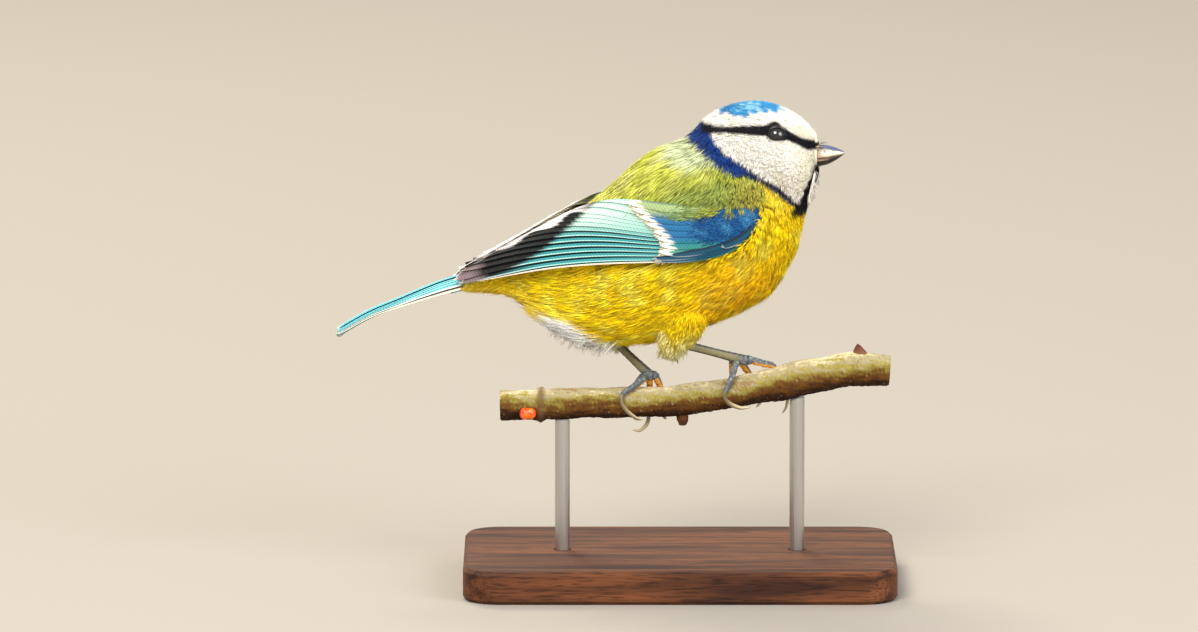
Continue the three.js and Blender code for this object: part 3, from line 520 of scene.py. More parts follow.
def plumage(points):
    """Linear colour of the coat at points in millimetres, on the bird before its head is turned."""
    x, y, z = points.T
    side = np.abs(y)
    blot = ripple(points, 7.0, 11)
    fine = ripple(points, 2.2, 12)
    ridge = np.interp(x, [-45, -26, -8, 0, 5], [65, 76, 91.6, 95.6, 99])
    drop = ridge - z

    back = painted("#D8DC58", "#F0F090", smoothstep(blot, -0.2, 1.4))
    # Painted shade: the back darkens to olive further below its ridge, which leaves it lightest along the
    # top, where the light falls.
    back = painted(back, "#B2BC42", smoothstep(drop, 2.0, 9.0) * 0.75)
    back = painted(back, "#E2DE74", smoothstep(x, -4, -16) * 0.6)
    scapular = painted("#87984A", "#A3963E", smoothstep(x, 8, 16))
    back = painted(back, scapular, inside(points, SCAPULARS, 1.8) * 0.85)
    back = painted(back, "#D3DFC8", inside(points, NAPE, 1.3) * 0.75)
    colour = painted(back, "#B4BE58", smoothstep(x, -24, -32))

    yellow = painted("#FFD900", "#FFEA48", smoothstep(blot + fine * 0.4, 0, 1.3))
    # Painted shade: low on the breast and towards its sides the yellow turns orange, where it faces away
    # from the light.
    low_front = smoothstep(x, -2, 14) * smoothstep(z, 78, 64)
    yellow = painted(yellow, "#FFB400", low_front * 0.6 * smoothstep(side, 1, 8))
    yellow = painted(yellow, "#FFE24A", smoothstep(z, 79, 85) * 0.5)
    yellow = painted(yellow, "#EFCF4E", inside(points, UNDERTAIL, 2.0) * 0.6)
    streak = smoothstep(1.9 + 0.8 * blot - side, 0, 0.8) * smoothstep(x, -6, 0) * smoothstep(z, 70, 65)
    yellow = painted(yellow, "#3A4038", streak * smoothstep(fine + blot, -1.4, 0.9) * 0.8)
    yellow = painted(yellow, "#FFFFFA", inside(points, VENT, 0.9))
    colour = painted(colour, yellow, inside(points, YELLOW, 0.7))

    face = painted("#FFFAF0", "#F3EEDF", smoothstep(blot, 0.4, 1.5))
    face = painted(face, "#FFF4D8", smoothstep(x, 24, 28) * 0.6)
    on_head = smoothstep(side_of((3.6, 99.0), (25.0, 82.6), points), -0.4, 0.4)
    colour = painted(colour, face, on_head)
    reach = np.hypot((x - CAP_CENTRE[0]) / CAP_HALF[0], y / CAP_HALF[1])
    cap = painted("#3E9BD6", "#8FD0EE", smoothstep(blot + 0.5 * fine, 0.1, 1.2))
    cap = painted(cap, "#1F72B4", smoothstep(-blot, 0.5, 1.4) * 0.8)
    colour = painted(colour, cap, (1 - smoothstep(reach + 0.07 * fine, 0.9, 1.08)) * smoothstep(z, 98, 100))
    colour = painted(colour, "#173C84", inside(points, COLLAR, 0.35))
    colour = painted(colour, "#0C1433", inside(points, COLLAR, 0.3) * smoothstep(x, 12, 18) * 0.9)
    colour = painted(colour, "#15141C", along_line(points, EYE_STRIPE, 0.25))
    colour = painted(colour, "#15141C", 1 - smoothstep(eye_reach(points), 1.14, 1.38))
    half = np.interp(z, [80.5, 83, 87, 90], [4.6, 3.9, 3.0, 2.2])
    bib = 1 - smoothstep(np.abs(y - BIB_CENTRE_Y) + 0.35 * fine, half - 0.5, half + 0.5)
    bib = bib * smoothstep(x, 20, 23)
    return painted(colour, "#101016", bib * smoothstep(z, 79.6, 81) * (1 - smoothstep(z, 90.2, 91.2)))


# %% [markdown]
# ## The feather finish
# A small feather is keratin: dull, a little glossy where barbs lie flat, and brighter at
# grazing angles. Its colour is painted on the points of the mesh by the function above, and a
# fine noise of about a barb's width breaks it up.
# %% Plumage materials
BARB = 0.3


def plumage_material(name, roughness, sheen, variation):
    """The painted colour times a fine noise of one barb's width, on a soft shader."""
    material, tree, place = start_material(name)
    colour = add(tree, "Attribute", attribute_name="paint").outputs["Color"]
    noise = add(tree, "TexNoise", {"Vector": place, "Scale": 1 / (BARB * 3 * MM), "Detail": 2.0})
    span = {"Value": noise.outputs["Fac"], "To Min": 1 - variation, "To Max": 1 + variation}
    level = add(tree, "MapRange", span)
    mixed = add(tree, "Mix", {0: 1.0, 6: colour, 7: level.outputs["Result"]}, **MULTIPLY)
    shader = {"Base Color": mixed.outputs[2], "Roughness": roughness, "Specular IOR Level": 0.1}
    finish_material(tree, {**shader, "Sheen Weight": sheen, "Sheen Roughness": 0.5})
    return material


body_feather = plumage_material("body_feather_keratin", 0.75, 0.04, 0.08)
bare_skin = plumage_material("skin_under_feathers", 0.85, 0.0, 0.2)

# %% [markdown]
# ## The skin
# One skin covers the whole body and both thighs. It lies inside the outer form by the coat's
# depth, so that feather tips and not skin reach the outline. Body and thighs start as separate
# closed grids, and a voxel remesh of 0.6 mm welds them into one surface with no seam.
# %% Skin
THIGHS = {
    "right": [(3.0, -6.0, 63.0), (1.0, -7.0, 58.0), (-1.4, -7.2, 53.2), (-2.2, -7.2, 50.0)],
    "left": [(-8.5, 5.6, 61.0), (-11.0, 6.6, 56.4), (-14.2, 6.8, 52.4), (-15.4, 6.8, 50.6)],
}
THIGH_RADII = [(3.4,), (4.7,), (3.5,), (1.7,)]
THIGH_COAT = 1.5
THIGH_TOP = np.array([4.5, 8.5, 63.5])
SKIN_VOXEL = 0.6


def surface_normal(surface, first, second, outside):
    """Unit normal of a surface of two parameters, from small steps along both, facing outside."""
    step = 0.02
    point = surface(first, second)
    one = surface(first + step, second) - point
    two = surface(first, second + step) - point
    normal = unit(np.cross(one, two))
    flip = np.sign((normal * (point - outside(point))).sum(-1, keepdims=True))
    return normal * np.where(flip == 0, 1, flip)


def body_axis(points):
    """A point well inside the body, level with each point given."""
    centre_x = np.clip(points[..., 0] * 0.9, -40, 24)
    centre_z = np.interp(centre_x, [-45, -25, 0, 14, 24], [63.5, 66, 76, 88, 93])
    return np.stack([centre_x, np.zeros_like(centre_x), centre_z], -1)


def thigh_at(side):
    """Surface of a thigh: a place down it (0 to 1) and an angle round it, 0 ahead."""
    knots = np.array(THIGHS[side])

    def surface(place, angle):
        centre = rows_at(knots, np.clip(place, 0, 1) * 3)
        before_end = np.clip(place, 0, 0.97) * 3
        along = unit(rows_at(knots, before_end + 0.09) - rows_at(knots, before_end))
        ahead = unit(np.array([1.0, 0, 0]) - along * along[..., :1])
        radius = rows_at(THIGH_RADII, np.clip(place, 0, 1) * 3)
        spoke = ahead * np.cos(angle)[..., None] + np.cross(along, ahead) * np.sin(angle)[..., None]
        return centre + spoke * radius

    return surface


def thigh_axis(side):
    """The middle line of a thigh, level with each point given."""
    knots = np.array(THIGHS[side])
    line = rows_at(knots, np.linspace(0, 3, 60))

    def nearest(points):
        return np.stack([np.interp(-points[..., 2], -line[:, 2], line[:, i]) for i in range(3)], -1)

    return nearest


def skin_shells():
    """The body's grid and the two thighs' grids, each moved inwards by its coat."""
    place, angle = round_grid(0, LAST_PLACE, 91, 96)
    normal = surface_normal(body_at, place, angle, body_axis)
    shells = [closed_tube(body_at(place, angle) - normal * coat_depth(place, angle)[..., None])]
    for side in SIDES:
        place, angle = round_grid(0, 1, 21, 32)
        normal = surface_normal(thigh_at(side), place, angle, thigh_axis(side))
        shells.append(closed_tube(thigh_at(side)(place, angle) - normal * THIGH_COAT))
    return joined(shells)


def remeshed(points, face_sets, voxel):
    """Points and faces of one closed surface round all the shells, from a voxel remesh."""
    shells = make_piece("skin_shells", points, face_sets, bare_skin)
    remesh = shells.modifiers.new("weld", "REMESH")
    remesh.mode = "VOXEL"
    remesh.voxel_size = voxel * MM
    soften = shells.modifiers.new("soften", "SMOOTH")
    soften.factor = 0.5
    soften.iterations = 6
    evaluated = shells.evaluated_get(bpy.context.evaluated_depsgraph_get())
    mesh = bpy.data.meshes.new_from_object(evaluated)
    co = np.zeros(len(mesh.vertices) * 3)
    mesh.vertices.foreach_get("co", co)
    faces = np.zeros(len(mesh.loops), int)
    mesh.loops.foreach_get("vertex_index", faces)
    bpy.data.objects.remove(shells)
    return co.reshape(-1, 3) / MM, [faces.reshape(-1, 4)]


skin_points, skin_faces = remeshed(*skin_shells(), SKIN_VOXEL)
# Painted shade: the skin carries the coat's colours at 0.8 of their brightness, for the shaded depth of the
# coat that shows between the feathers.
skin_colour = plumage(skin_points) * 0.8
skin = make_piece("skin", turn_head(skin_points), skin_faces, bare_skin, skin_colour)
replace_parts(skin, "head", "crown", "neck", "mantle", "belly", "rump", "thigh_right", "thigh_left")

# %% [markdown]
# ## Body feathers
# A contour feather grows from one root, and its barbs spread to a rounded tip. Hair curves would
# be simplest, but a mesh is wanted, so a feather here is a fan of thin three-sided blades. Each
# blade's middle line is walked over the body's surface from the root backwards, so that it hugs
# the form, and it rises from under the skin to the outer form. Roots are spread by a sequence
# that fills the surface evenly, as real feather tracts look once they lie closed.
# %% How a feather grows
STATIONS = 4
BLADE_POINTS = 10
ROOT_DEPTH = 0.25
PIECE_BLADES = 12000
WIDTH_ALONG = np.array([0.55, 1.0, 0.75])
# The number whose powers spread a sequence evenly over two measures.
PLASTIC_NUMBER = 1.32471795724


def spread_roots(surface, first_span, second_span, density, cells=(260, 200)):
    """Roots at density(first, second) a square millimetre: an even sequence laid over equal areas."""
    a = np.linspace(*first_span, cells[0] + 1)
    b = np.linspace(*second_span, cells[1] + 1)
    corner = surface(*np.meshgrid(a, b, indexing="ij"))
    one = np.diff(corner, axis=0)[:, :-1]
    two = np.diff(corner, axis=1)[:-1]
    middle = np.meshgrid((a[1:] + a[:-1]) / 2, (b[1:] + b[:-1]) / 2, indexing="ij")
    weight = np.linalg.norm(np.cross(one, two), axis=-1) * density(*middle)
    count = int(weight.sum())
    k = np.arange(count)
    u = (0.5 + k / PLASTIC_NUMBER) % 1.0
    v = (0.5 + k / PLASTIC_NUMBER ** 2) % 1.0
    rows = np.concatenate([[0], np.cumsum(weight.sum(1))]) / weight.sum()
    first = np.interp(u, rows, a)
    line = np.clip(np.searchsorted(rows, u) - 1, 0, cells[0] - 1)
    share = np.cumsum(weight, 1) / weight.sum(1, keepdims=True)
    column = (share[line] < v[:, None]).sum(1).clip(0, cells[1] - 1)
    before = np.where(column > 0, share[line, column - 1], 0.0)
    part = (v - before) / np.maximum(share[line, column] - before, 1e-9)
    return first, b[column] + part * (b[1] - b[0])


def walk(surface, outside, first, second, flow, lie, length, side_drift):
    """Stations of each blade's middle line on the surface, with the normal at each of them."""
    points, normals = [], []
    share = np.linspace(0, 1, STATIONS)
    step = 0.01
    for k in range(STATIONS):
        point = surface(first, second)
        points.append(point)
        normals.append(surface_normal(surface, first, second, outside))
        pace_one = np.linalg.norm(surface(first + step, second) - point, axis=-1) / step
        pace_two = np.linalg.norm(surface(first, second + step) - point, axis=-1) / step
        heading = lie + side_drift * (1.4 - 0.8 * share[k])
        stride = length / (STATIONS - 1)
        first = first + flow * np.cos(heading) * stride / np.maximum(pace_one, 0.3)
        second = second + np.sin(heading) * stride / np.maximum(pace_two, 0.3)
    return np.stack(points, 1), np.stack(normals, 1)


def blade_faces(count):
    """Faces of count blades: three rings of three points, a tip and a closed root."""
    sides = grid_faces(3, 3, True)
    tip = np.array([[6, 7, 9], [7, 8, 9], [8, 6, 9]])
    root = np.array([[2, 1, 0]])
    ends = np.vstack([tip, root])
    return [repeated(sides, count, BLADE_POINTS), repeated(ends, count, BLADE_POINTS)]


def blades(line, normal, width, roll):
    """Closed blades along their middle lines: left, right and a raised middle at each ring."""
    along = unit(np.gradient(line, axis=1))
    normal = unit(normal - along * (normal * along).sum(-1, keepdims=True))
    side = np.cross(along, normal)
    turn = roll[:, None, None]
    across = side * np.cos(turn) + normal * np.sin(turn)
    above = normal * np.cos(turn) - side * np.sin(turn)
    half = (width[:, None] * WIDTH_ALONG / 2)[..., None]
    middle, across, above = line[:, :3], across[:, :3], above[:, :3]
    rings = np.stack([middle - across * half, middle + across * half, middle + above * half * 0.3], 2)
    return np.concatenate([rings.reshape(len(line), 9, 3), line[:, 3:]], 1)


# %% [markdown]
# ## The coat's plan
# Feathers are smallest on the face, about 1 mm long at the bill, and longest on mantle and belly.
# The plan below gives every root its length and the other sizes follow from it. Where the folded
# wing covers the body nothing grows, and the feathers round its front and top edge are lifted so
# that they lie over the wing, as the photo shows.
# %% Sizes of the coat
FEATHER_LENGTH = [
    (0, 2.4), (1, 4.6), (2, 6.5), (6, 6.8), (8, 5.8), (10, 4.0), (12, 2.4), (14, 1.9), (16, 1.5), (18, 0.9),
]
LAYERS = [(0, 9.0), (9, 10.0), (11, 7.0), (14, 6.0), (18, 5.0)]
WING_COVER = [
    (18.1, 84.4), (16.7, 80.0), (14.1, 75.8), (7.2, 72.0), (-5.0, 71.2), (-19.0, 71.0), (-34.0, 68.8),
    (-50.0, 65.5), (-50.0, 67.5), (-37.0, 73.4), (-26.0, 79.6), (-17.0, 82.4), (-8.0, 81.6), (3.0, 80.6),
    (11.0, 83.0),
]
WING_BRIM = [
    (19.5, 84.5), (17.0, 76.0), (8.0, 71.6), (-5.3, 70.0), (-19.0, 69.6), (-34.0, 67.0), (-50.0, 63.5),
    (-50.0, 69.5), (-37.0, 75.4), (-26.0, 82.0), (-17.0, 86.5), (-7.0, 88.0), (4.0, 87.0), (13.0, 88.5),
]


def body_density(place, angle):
    """Feathers a square millimetre, so that the same number of layers lies everywhere."""
    length = value_at(FEATHER_LENGTH, place)
    points = body_at(place, angle).reshape(-1, 3)
    bare = inside(points, WING_COVER, 0.4)
    edge = np.interp(points[:, 0], [-48, -38, -28, -17, -7], [2.2, 2.4, 3.3, 6.4, 12.6]) + 1.0
    low = np.interp(points[:, 0], [-48.5, -34, -19, -5], [65.0, 68.0, 70.5, 71.2]) + 1.2
    under = (np.abs(points[:, 1]) > edge) & (points[:, 2] > low) & (points[:, 0] < -7)
    bare = np.maximum(bare, under).reshape(place.shape)
    bare = np.maximum(bare, eye_reach(points).reshape(place.shape) < 1)
    return value_at(LAYERS, place) / (length * length * 0.36) * (1 - bare)


def tuft_uv(places):
    """A patch 0.003 across for every blade, at its root's place in the skin's two measures."""
    corner = np.array([(i % 3) / 2 for i in range(9)] + [0.5])
    level = np.array([0.0] * 3 + [0.33] * 3 + [0.66] * 3 + [1.0])
    root = (places - places.min(0)) / (np.ptp(places, axis=0) + 1e-6) * 0.994 + 0.0015
    return root[:, None] + np.stack([corner, level], -1)[None] * 0.003


def grow_coat(name, surface, outside, roots, sizes, colour_at, finish=None):
    """Feathers from their roots: sizes holds one number, or one a feather, for each measure.
    A blade rises as 1 - (1 - t)^2 from under the skin to the coat's depth, and droops as t^2."""
    sizes = {"flow": 1, "lie": 0.0, "droop": 0.0, **sizes}
    rng = np.random.default_rng(len(name) * 101 + len(roots[0]))
    count = len(roots[0])
    number = sizes["blades"]
    feather = {key: np.broadcast_to(np.asarray(value, float), (count,)) for key, value in sizes.items()}
    blade = {key: np.repeat(value, number) for key, value in feather.items()}
    q = np.tile(np.linspace(-1, 1, number), (count, 1))
    q = q + rng.uniform(-0.5, 0.5, q.shape) / number
    q = q.ravel()
    first = np.repeat(roots[0], number)
    second = np.repeat(roots[1], number)
    length = blade["length"] * (1 - 0.22 * q * q) * rng.uniform(0.8, 1.12, len(q))
    lie = np.repeat(feather["lie"] + rng.normal(0, 1, count) * feather["loose"] * 0.35, number)
    lie = lie + rng.normal(0, 1, len(q)) * blade["loose"] * 0.25
    drift = q * blade["spread"] / length
    line, normal = walk(surface, outside, first, second, sizes["flow"], lie, length, drift)
    share = np.linspace(0, 1, STATIONS)
    climb = 1 - (1 - share) ** 2
    reach = np.repeat(rng.uniform(0.65, 1.0, count), number) * rng.uniform(0.92, 1.05, len(q))
    depth = blade["depth"]
    height = ((depth * reach + ROOT_DEPTH)[:, None] + blade["lift"][:, None]) * climb
    height = -depth[:, None] - ROOT_DEPTH + height
    stray = rng.random(len(q)) < sizes["stray"]
    height = height + (stray * rng.uniform(0.2, 1.0, len(q)) * sizes["stray_rise"])[:, None] * share ** 2
    line = line + normal * height[..., None]
    line = line - np.array([0, 0, 1.0]) * (blade["droop"][:, None] * share ** 2)[..., None]
    width = blade["width"] * rng.uniform(0.7, 1.25, len(q))
    points = blades(line, normal, width, rng.normal(0, 0.16, len(q)))
    hue = colour_at(line[:, 1])
    tone = np.repeat(rng.normal(0, 0.05, count), number) + rng.normal(0, 0.07, len(q))
    # Painted shade: each blade is darker at its root, where the feathers over it shade it, and a little
    # lighter towards its tip.
    along = np.array([0.88] * 3 + [0.96] * 3 + [1.03] * 3 + [1.08])
    colours = hue[:, None] * np.clip(1 + tone, 0.5, 1.5)[:, None, None] * along[None, :, None]
    uv = tuft_uv(np.stack([first, second], -1))
    keep = np.ones(len(q), bool)
    if finish is not None:
        points, keep = finish(points)
    points, colours, uv = points[keep], colours[keep], uv[keep]
    parts = math.ceil(len(points) / PIECE_BLADES)
    for part in range(parts):
        chosen = slice(part, None, parts)
        batch = points[chosen]
        label = name if parts == 1 else f"{name}_{part + 1}"
        uv_map = ("OFBake", uv[chosen].reshape(-1, 2))
        faces = blade_faces(len(batch))
        tint = colours[chosen].reshape(-1, 3)
        make_piece(label, batch.reshape(-1, 3), faces, body_feather, tint, uv_map)


# %% [markdown]
# ## Feathers of the body, region by region
# Each flesh node of the solids has its own piece of coat, so that each keeps its own finish in
# the record. A root belongs to the region that it stands in. The belly is looser than the back,
# and the vent is down: long, fine and untidy.
# %% Body coat
roots_place, roots_angle = spread_roots(body_at, (0.05, 17.95), (0, FULL_TURN), body_density)
root_points = body_at(roots_place, roots_angle)
above_front = side_of((5.1, 99.9), (26.8, 79.9), root_points)
above_rear = side_of((1.7, 96.7), (26.2, 76.5), root_points)
above_flank = side_of((19.1, 84.3), (-48.0, 65.0), root_points)
ahead_rump = -side_of((-29.3, 74.5), (-26.0, 54.5), root_points)
on_crown = (above_front > 0) & (root_points[:, 2] > 102)
region = np.select(
    [on_crown, above_front > 0, above_rear > 0, ahead_rump > 0, above_flank < 0], [0, 1, 2, 5, 3], 4,
)
print("feathers in each region:", np.bincount(region, minlength=6))


def clear_of_eyes(points):
    """The head's blades after its turn, without those that would lie across an eye."""
    near = eye_reach(points[:, 3:].reshape(-1, 3)).reshape(len(points), -1).min(1) < 1
    return turn_head(points), ~near


def clear_of_wings(points):
    """The body's blades after the head's turn, without those that end well inside a folded wing."""
    tips = points[:, 9]
    hidden = (inside(tips, WING_COVER, 1.2) > 0.97) & (tips[:, 2] < 79.5)
    return turn_head(points), ~hidden


def turned(points):
    """Blades that follow the head's turn, all kept."""
    return turn_head(points), np.ones(len(points), bool)


# Name, slot, blades a feather, looseness, spread, sweep down the sides, and stretch of the length.
REGIONS = [
    ("coat_crown", "plumage_crown_blue", 5, 0.0, 0.2, 0.0, 1.0),
    ("coat_face", "plumage_white", 5, 0.0, 0.2, 0.15, 1.0),
    ("coat_collar", "plumage_navy", 6, 0.05, 0.2, 0.2, 1.0),
    ("coat_mantle", "plumage_olive", 13, 0.0, 0.14, 0.5, 1.5),
    ("coat_belly", "plumage_yellow", 13, 0.1, 0.18, 0.06, 1.25),
    ("coat_rump", "plumage_olive", 11, 0.08, 0.16, 0.1, 1.0),
]
for number, (name, slot, count, loose, spread, sweep_down, stretch) in enumerate(REGIONS):
    chosen = region == number
    place, angle, spot = roots_place[chosen], roots_angle[chosen], root_points[chosen]
    length = value_at(FEATHER_LENGTH, place)
    vent = inside(spot, VENT, 2.5)
    brim = inside(spot, WING_BRIM, 0.8) * (spot[:, 2] > 72.5)
    brim = brim * (0.35 + 0.65 * smoothstep(spot[:, 0], -6, 2))
    front_brim = brim * smoothstep(spot[:, 0], 2, 10)
    stretch = 1 + (stretch - 1) * (1 - brim)
    by_thigh = np.exp(-(np.linalg.norm(mirrored(spot) - THIGH_TOP, axis=1) / 3.5) ** 2)
    sizes = {
        "blades": count,
        "flow": -1,
        "length": length * (1 + 0.3 * vent) * (1 - 0.3 * front_brim) * stretch,
        "spread": length * spread,
        "width": (0.135 + 0.027 * length) / stretch ** 0.5,
        "depth": coat_depth(place, angle),
        "lift": 1.3 * brim + 0.4 * front_brim + 0.6 * vent + 1.5 * by_thigh,
        "lie": np.sin(angle) * sweep_down,
        "loose": 0.08 + 0.8 * loose + 0.35 * vent + 0.4 * front_brim,
        "droop": 0.9 * vent,
        "stray": 0.05 + 0.4 * loose,
        "stray_rise": 0.5 + 3.0 * loose,
    }
    finish = clear_of_eyes if number < 2 else clear_of_wings
    grow_coat(name, body_at, body_axis, (place, angle), sizes, plumage, finish)



# %% Thigh coat
def thigh_density(place, angle):
    """The same number of feathers a square millimetre all over a thigh."""
    return np.full(place.shape, 2.4)


def thigh_colour(points):
    """The belly's yellow, paler towards the heel."""
    return painted(plumage(points), "#FFF6A8", smoothstep(points[:, 2], 57, 51) * 0.85)


for side in SIDES:
    surface = thigh_at(side)
    place, angle = spread_roots(surface, (0.12, 0.97), (0, FULL_TURN), thigh_density, (60, 60))
    sizes = {"blades": 7, "length": 3.4 + 1.6 * place, "spread": 0.9, "width": 0.22, "depth": THIGH_COAT}
    sizes.update(lift=0.15, loose=0.55, droop=0.5 + 0.6 * place, stray=0.15, stray_rise=0.9)
    name = f"coat_thigh_{side}"
    grow_coat(name, surface, thigh_axis(side), (place, angle), sizes, thigh_colour)

# %% [markdown]
# ## The folded wing
# Folded, a wing is a stack. The longest flight feathers lie lowest, each inner feather lies over
# the one below it, and only a strip of each shows. The strips share the width of the wing at
# each place, so each feather's lower edge is the running sum of the strips under it.
# %% Wing sheet
WING_LOWER = [
    (17.9, 81.6, 11.2), (15.0, 76.8, 13.2), (7.4, 72.3, 15.2), (-5.3, 71.2, 15.7),
    (-19.1, 70.5, 13.2), (-34.0, 67.9, 9.2), (-48.5, 63.9, 4.4),
]
WING_UPPER = [
    (17.6, 84.6, 10.6), (11.7, 84.0, 13.0), (4.3, 82.4, 15.0), (-7.4, 83.6, 12.6),
    (-17.0, 83.9, 6.4), (-27.7, 78.3, 3.3), (-38.3, 72.1, 2.4), (-47.9, 67.1, 2.2),
]
WING_CROWN = 1.1


def softened(rows, place):
    """Mean of the blend a little before and after each place, so that an edge has no kinks."""
    reach = np.clip(np.minimum(place, len(rows) - 1 - place), 0, 0.7)
    return sum(rows_at(rows, place + reach * step) for step in (-1, -0.5, 0, 0.5, 1)) / 5


def wing_at(sign, bulge=0.0):
    """The wing's sheet: a share along it from bend to tip, and a share up it from lower to upper edge."""

    def surface(along, up):
        low = softened(WING_LOWER, along * (len(WING_LOWER) - 1))
        high = softened(WING_UPPER, along * (len(WING_UPPER) - 1))
        x, z, y = np.moveaxis(low + (high - low) * np.asarray(up)[..., None], -1, 0)
        arch = 4 * up * (1 - up) * np.sin(math.pi * np.minimum(1, 0.15 + 0.85 * along))
        swell = 1 + 4 * up * (1 - up) * np.sin(math.pi * np.clip(along / 0.45, 0, 1))
        return np.stack([x, sign * (y + WING_CROWN * arch + bulge * swell), z], -1)

    return surface


def wing_axis(points):
    """The bird's middle plane, level with each point given."""
    return points * np.array([1.0, 0.0, 1.0])


def on_wing(sign, along, up, height):
    """Point that stands this height over the wing's sheet."""
    surface = wing_at(sign)
    normal = surface_normal(surface, along, up, wing_axis)
    return surface(along, up) + normal * np.asarray(height)[..., None]


def wing_width(along):
    """Millimetres from the wing's lower edge to its upper edge."""
    gap = wing_at(1)(along, np.ones_like(along)) - wing_at(1)(along, np.zeros_like(along))
    return np.linalg.norm(gap, axis=-1)


# %% [markdown]
# ## Vanes
# A vane is a thin plate on a grid, wider than the strip that shows, and rounded at its tip.
# Colours are painted on the same grid: the outer web is bright, with a painted highlight along its
# lower edge, and the inner web is dark, with painted shade under the next feather's edge. The dark
# part of one feather is what draws the line above it.


# %% Vane helper
# Millimetres from a vane's middle to its outer and its inner face.
VANE_FACES = (0.06, -0.06)


def vane_plates(outer, inner, colours):
    """Points, faces and colours of many plates from (count, rows, columns, 3) grids."""
    count, rows, columns = outer.shape[:3]
    points = np.concatenate([outer.reshape(count, -1, 3), inner.reshape(count, -1, 3)], 1)
    faces = slab_faces(rows, columns)
    corner = points[0]
    normal = np.cross(corner[columns] - corner[0], corner[1] - corner[0])
    if normal @ (corner[0] - corner[rows * columns]) > 0:
        faces = faces[:, ::-1]
    tint = np.concatenate([colours.reshape(count, -1, 3)] * 2, 1)
    return points.reshape(-1, 3), [repeated(faces, count, 2 * rows * columns)], tint.reshape(-1, 3)


def vane_round(share, start):
    """Half-width of a vane along it: full, then closing as a quarter circle from start to its tip."""
    t = np.clip((share - start) / (1 - start), 0, 1)
    return np.sqrt(np.maximum(1 - t ** 2.4, 0)) * 0.97 + 0.03


def barb_material(name):
    """Painted colour on a plate with barbs: fine slanting ridges that catch the light."""
    material, tree, place = start_material(name)
    turn = add(tree, "Mapping", {"Vector": place, "Rotation": (0.0, math.radians(35), 0.0)})
    wave = {"Vector": turn.outputs["Vector"], "Scale": 1 / (2 * BARB * MM * 3.2)}
    barbs = add(tree, "TexWave", {**wave, "Distortion": 1.2, "Detail": 1.0}, bands_direction="X")
    relief = {"Distance": 0.00004, "Strength": 0.5}
    shader = {"Roughness": 0.5, "Specular IOR Level": 0.08, "Sheen Weight": 0.03}
    finish_painted(tree, barbs.outputs["Fac"], {"To Min": 0.86, "To Max": 1.1}, relief, shader)
    return material


vane_keratin = barb_material("flight_feather_keratin")

# %% [markdown]
# ## Flight feathers
# Seven primaries, four secondaries and three tertials show, counted from the lower edge. Their
# strips are in proportion to the numbers below, so a tertial's is about twice a primary's.
# %% Flight feathers
PRIMARIES, SECONDARIES = 7, 4
FLIGHT_TIPS = np.array([
    0.95, 0.985, 1.0, 0.985, 0.965, 0.94, 0.91, 0.87, 0.835, 0.8, 0.765, 0.72, 0.655, 0.575,
])
FLIGHT_STRIPS = np.array([0.45] + [0.8] * (PRIMARIES - 1) + [0.7] * SECONDARIES + [1.5, 1.8, 2.0])
FLIGHT_ROOT = 0.28
HIDDEN_WEB = 1.1
BLACK_SHARE = ([0.56, 0.63, 0.70, 0.77, 0.84, 0.92], [-0.05, 0.14, 0.33, 0.57, 0.75, 0.85])
STRIP_RISE = 0.42


def strips_at(along):
    """Lower edge and width of every feather's strip, as shares of the wing, at places along it."""
    reach = smoothstep(FLIGHT_TIPS - along[..., None], -0.02, 0.2)
    strip = FLIGHT_STRIPS * reach
    total = strip.sum(-1, keepdims=True)
    return (np.cumsum(strip, -1) - strip) / total, strip / total


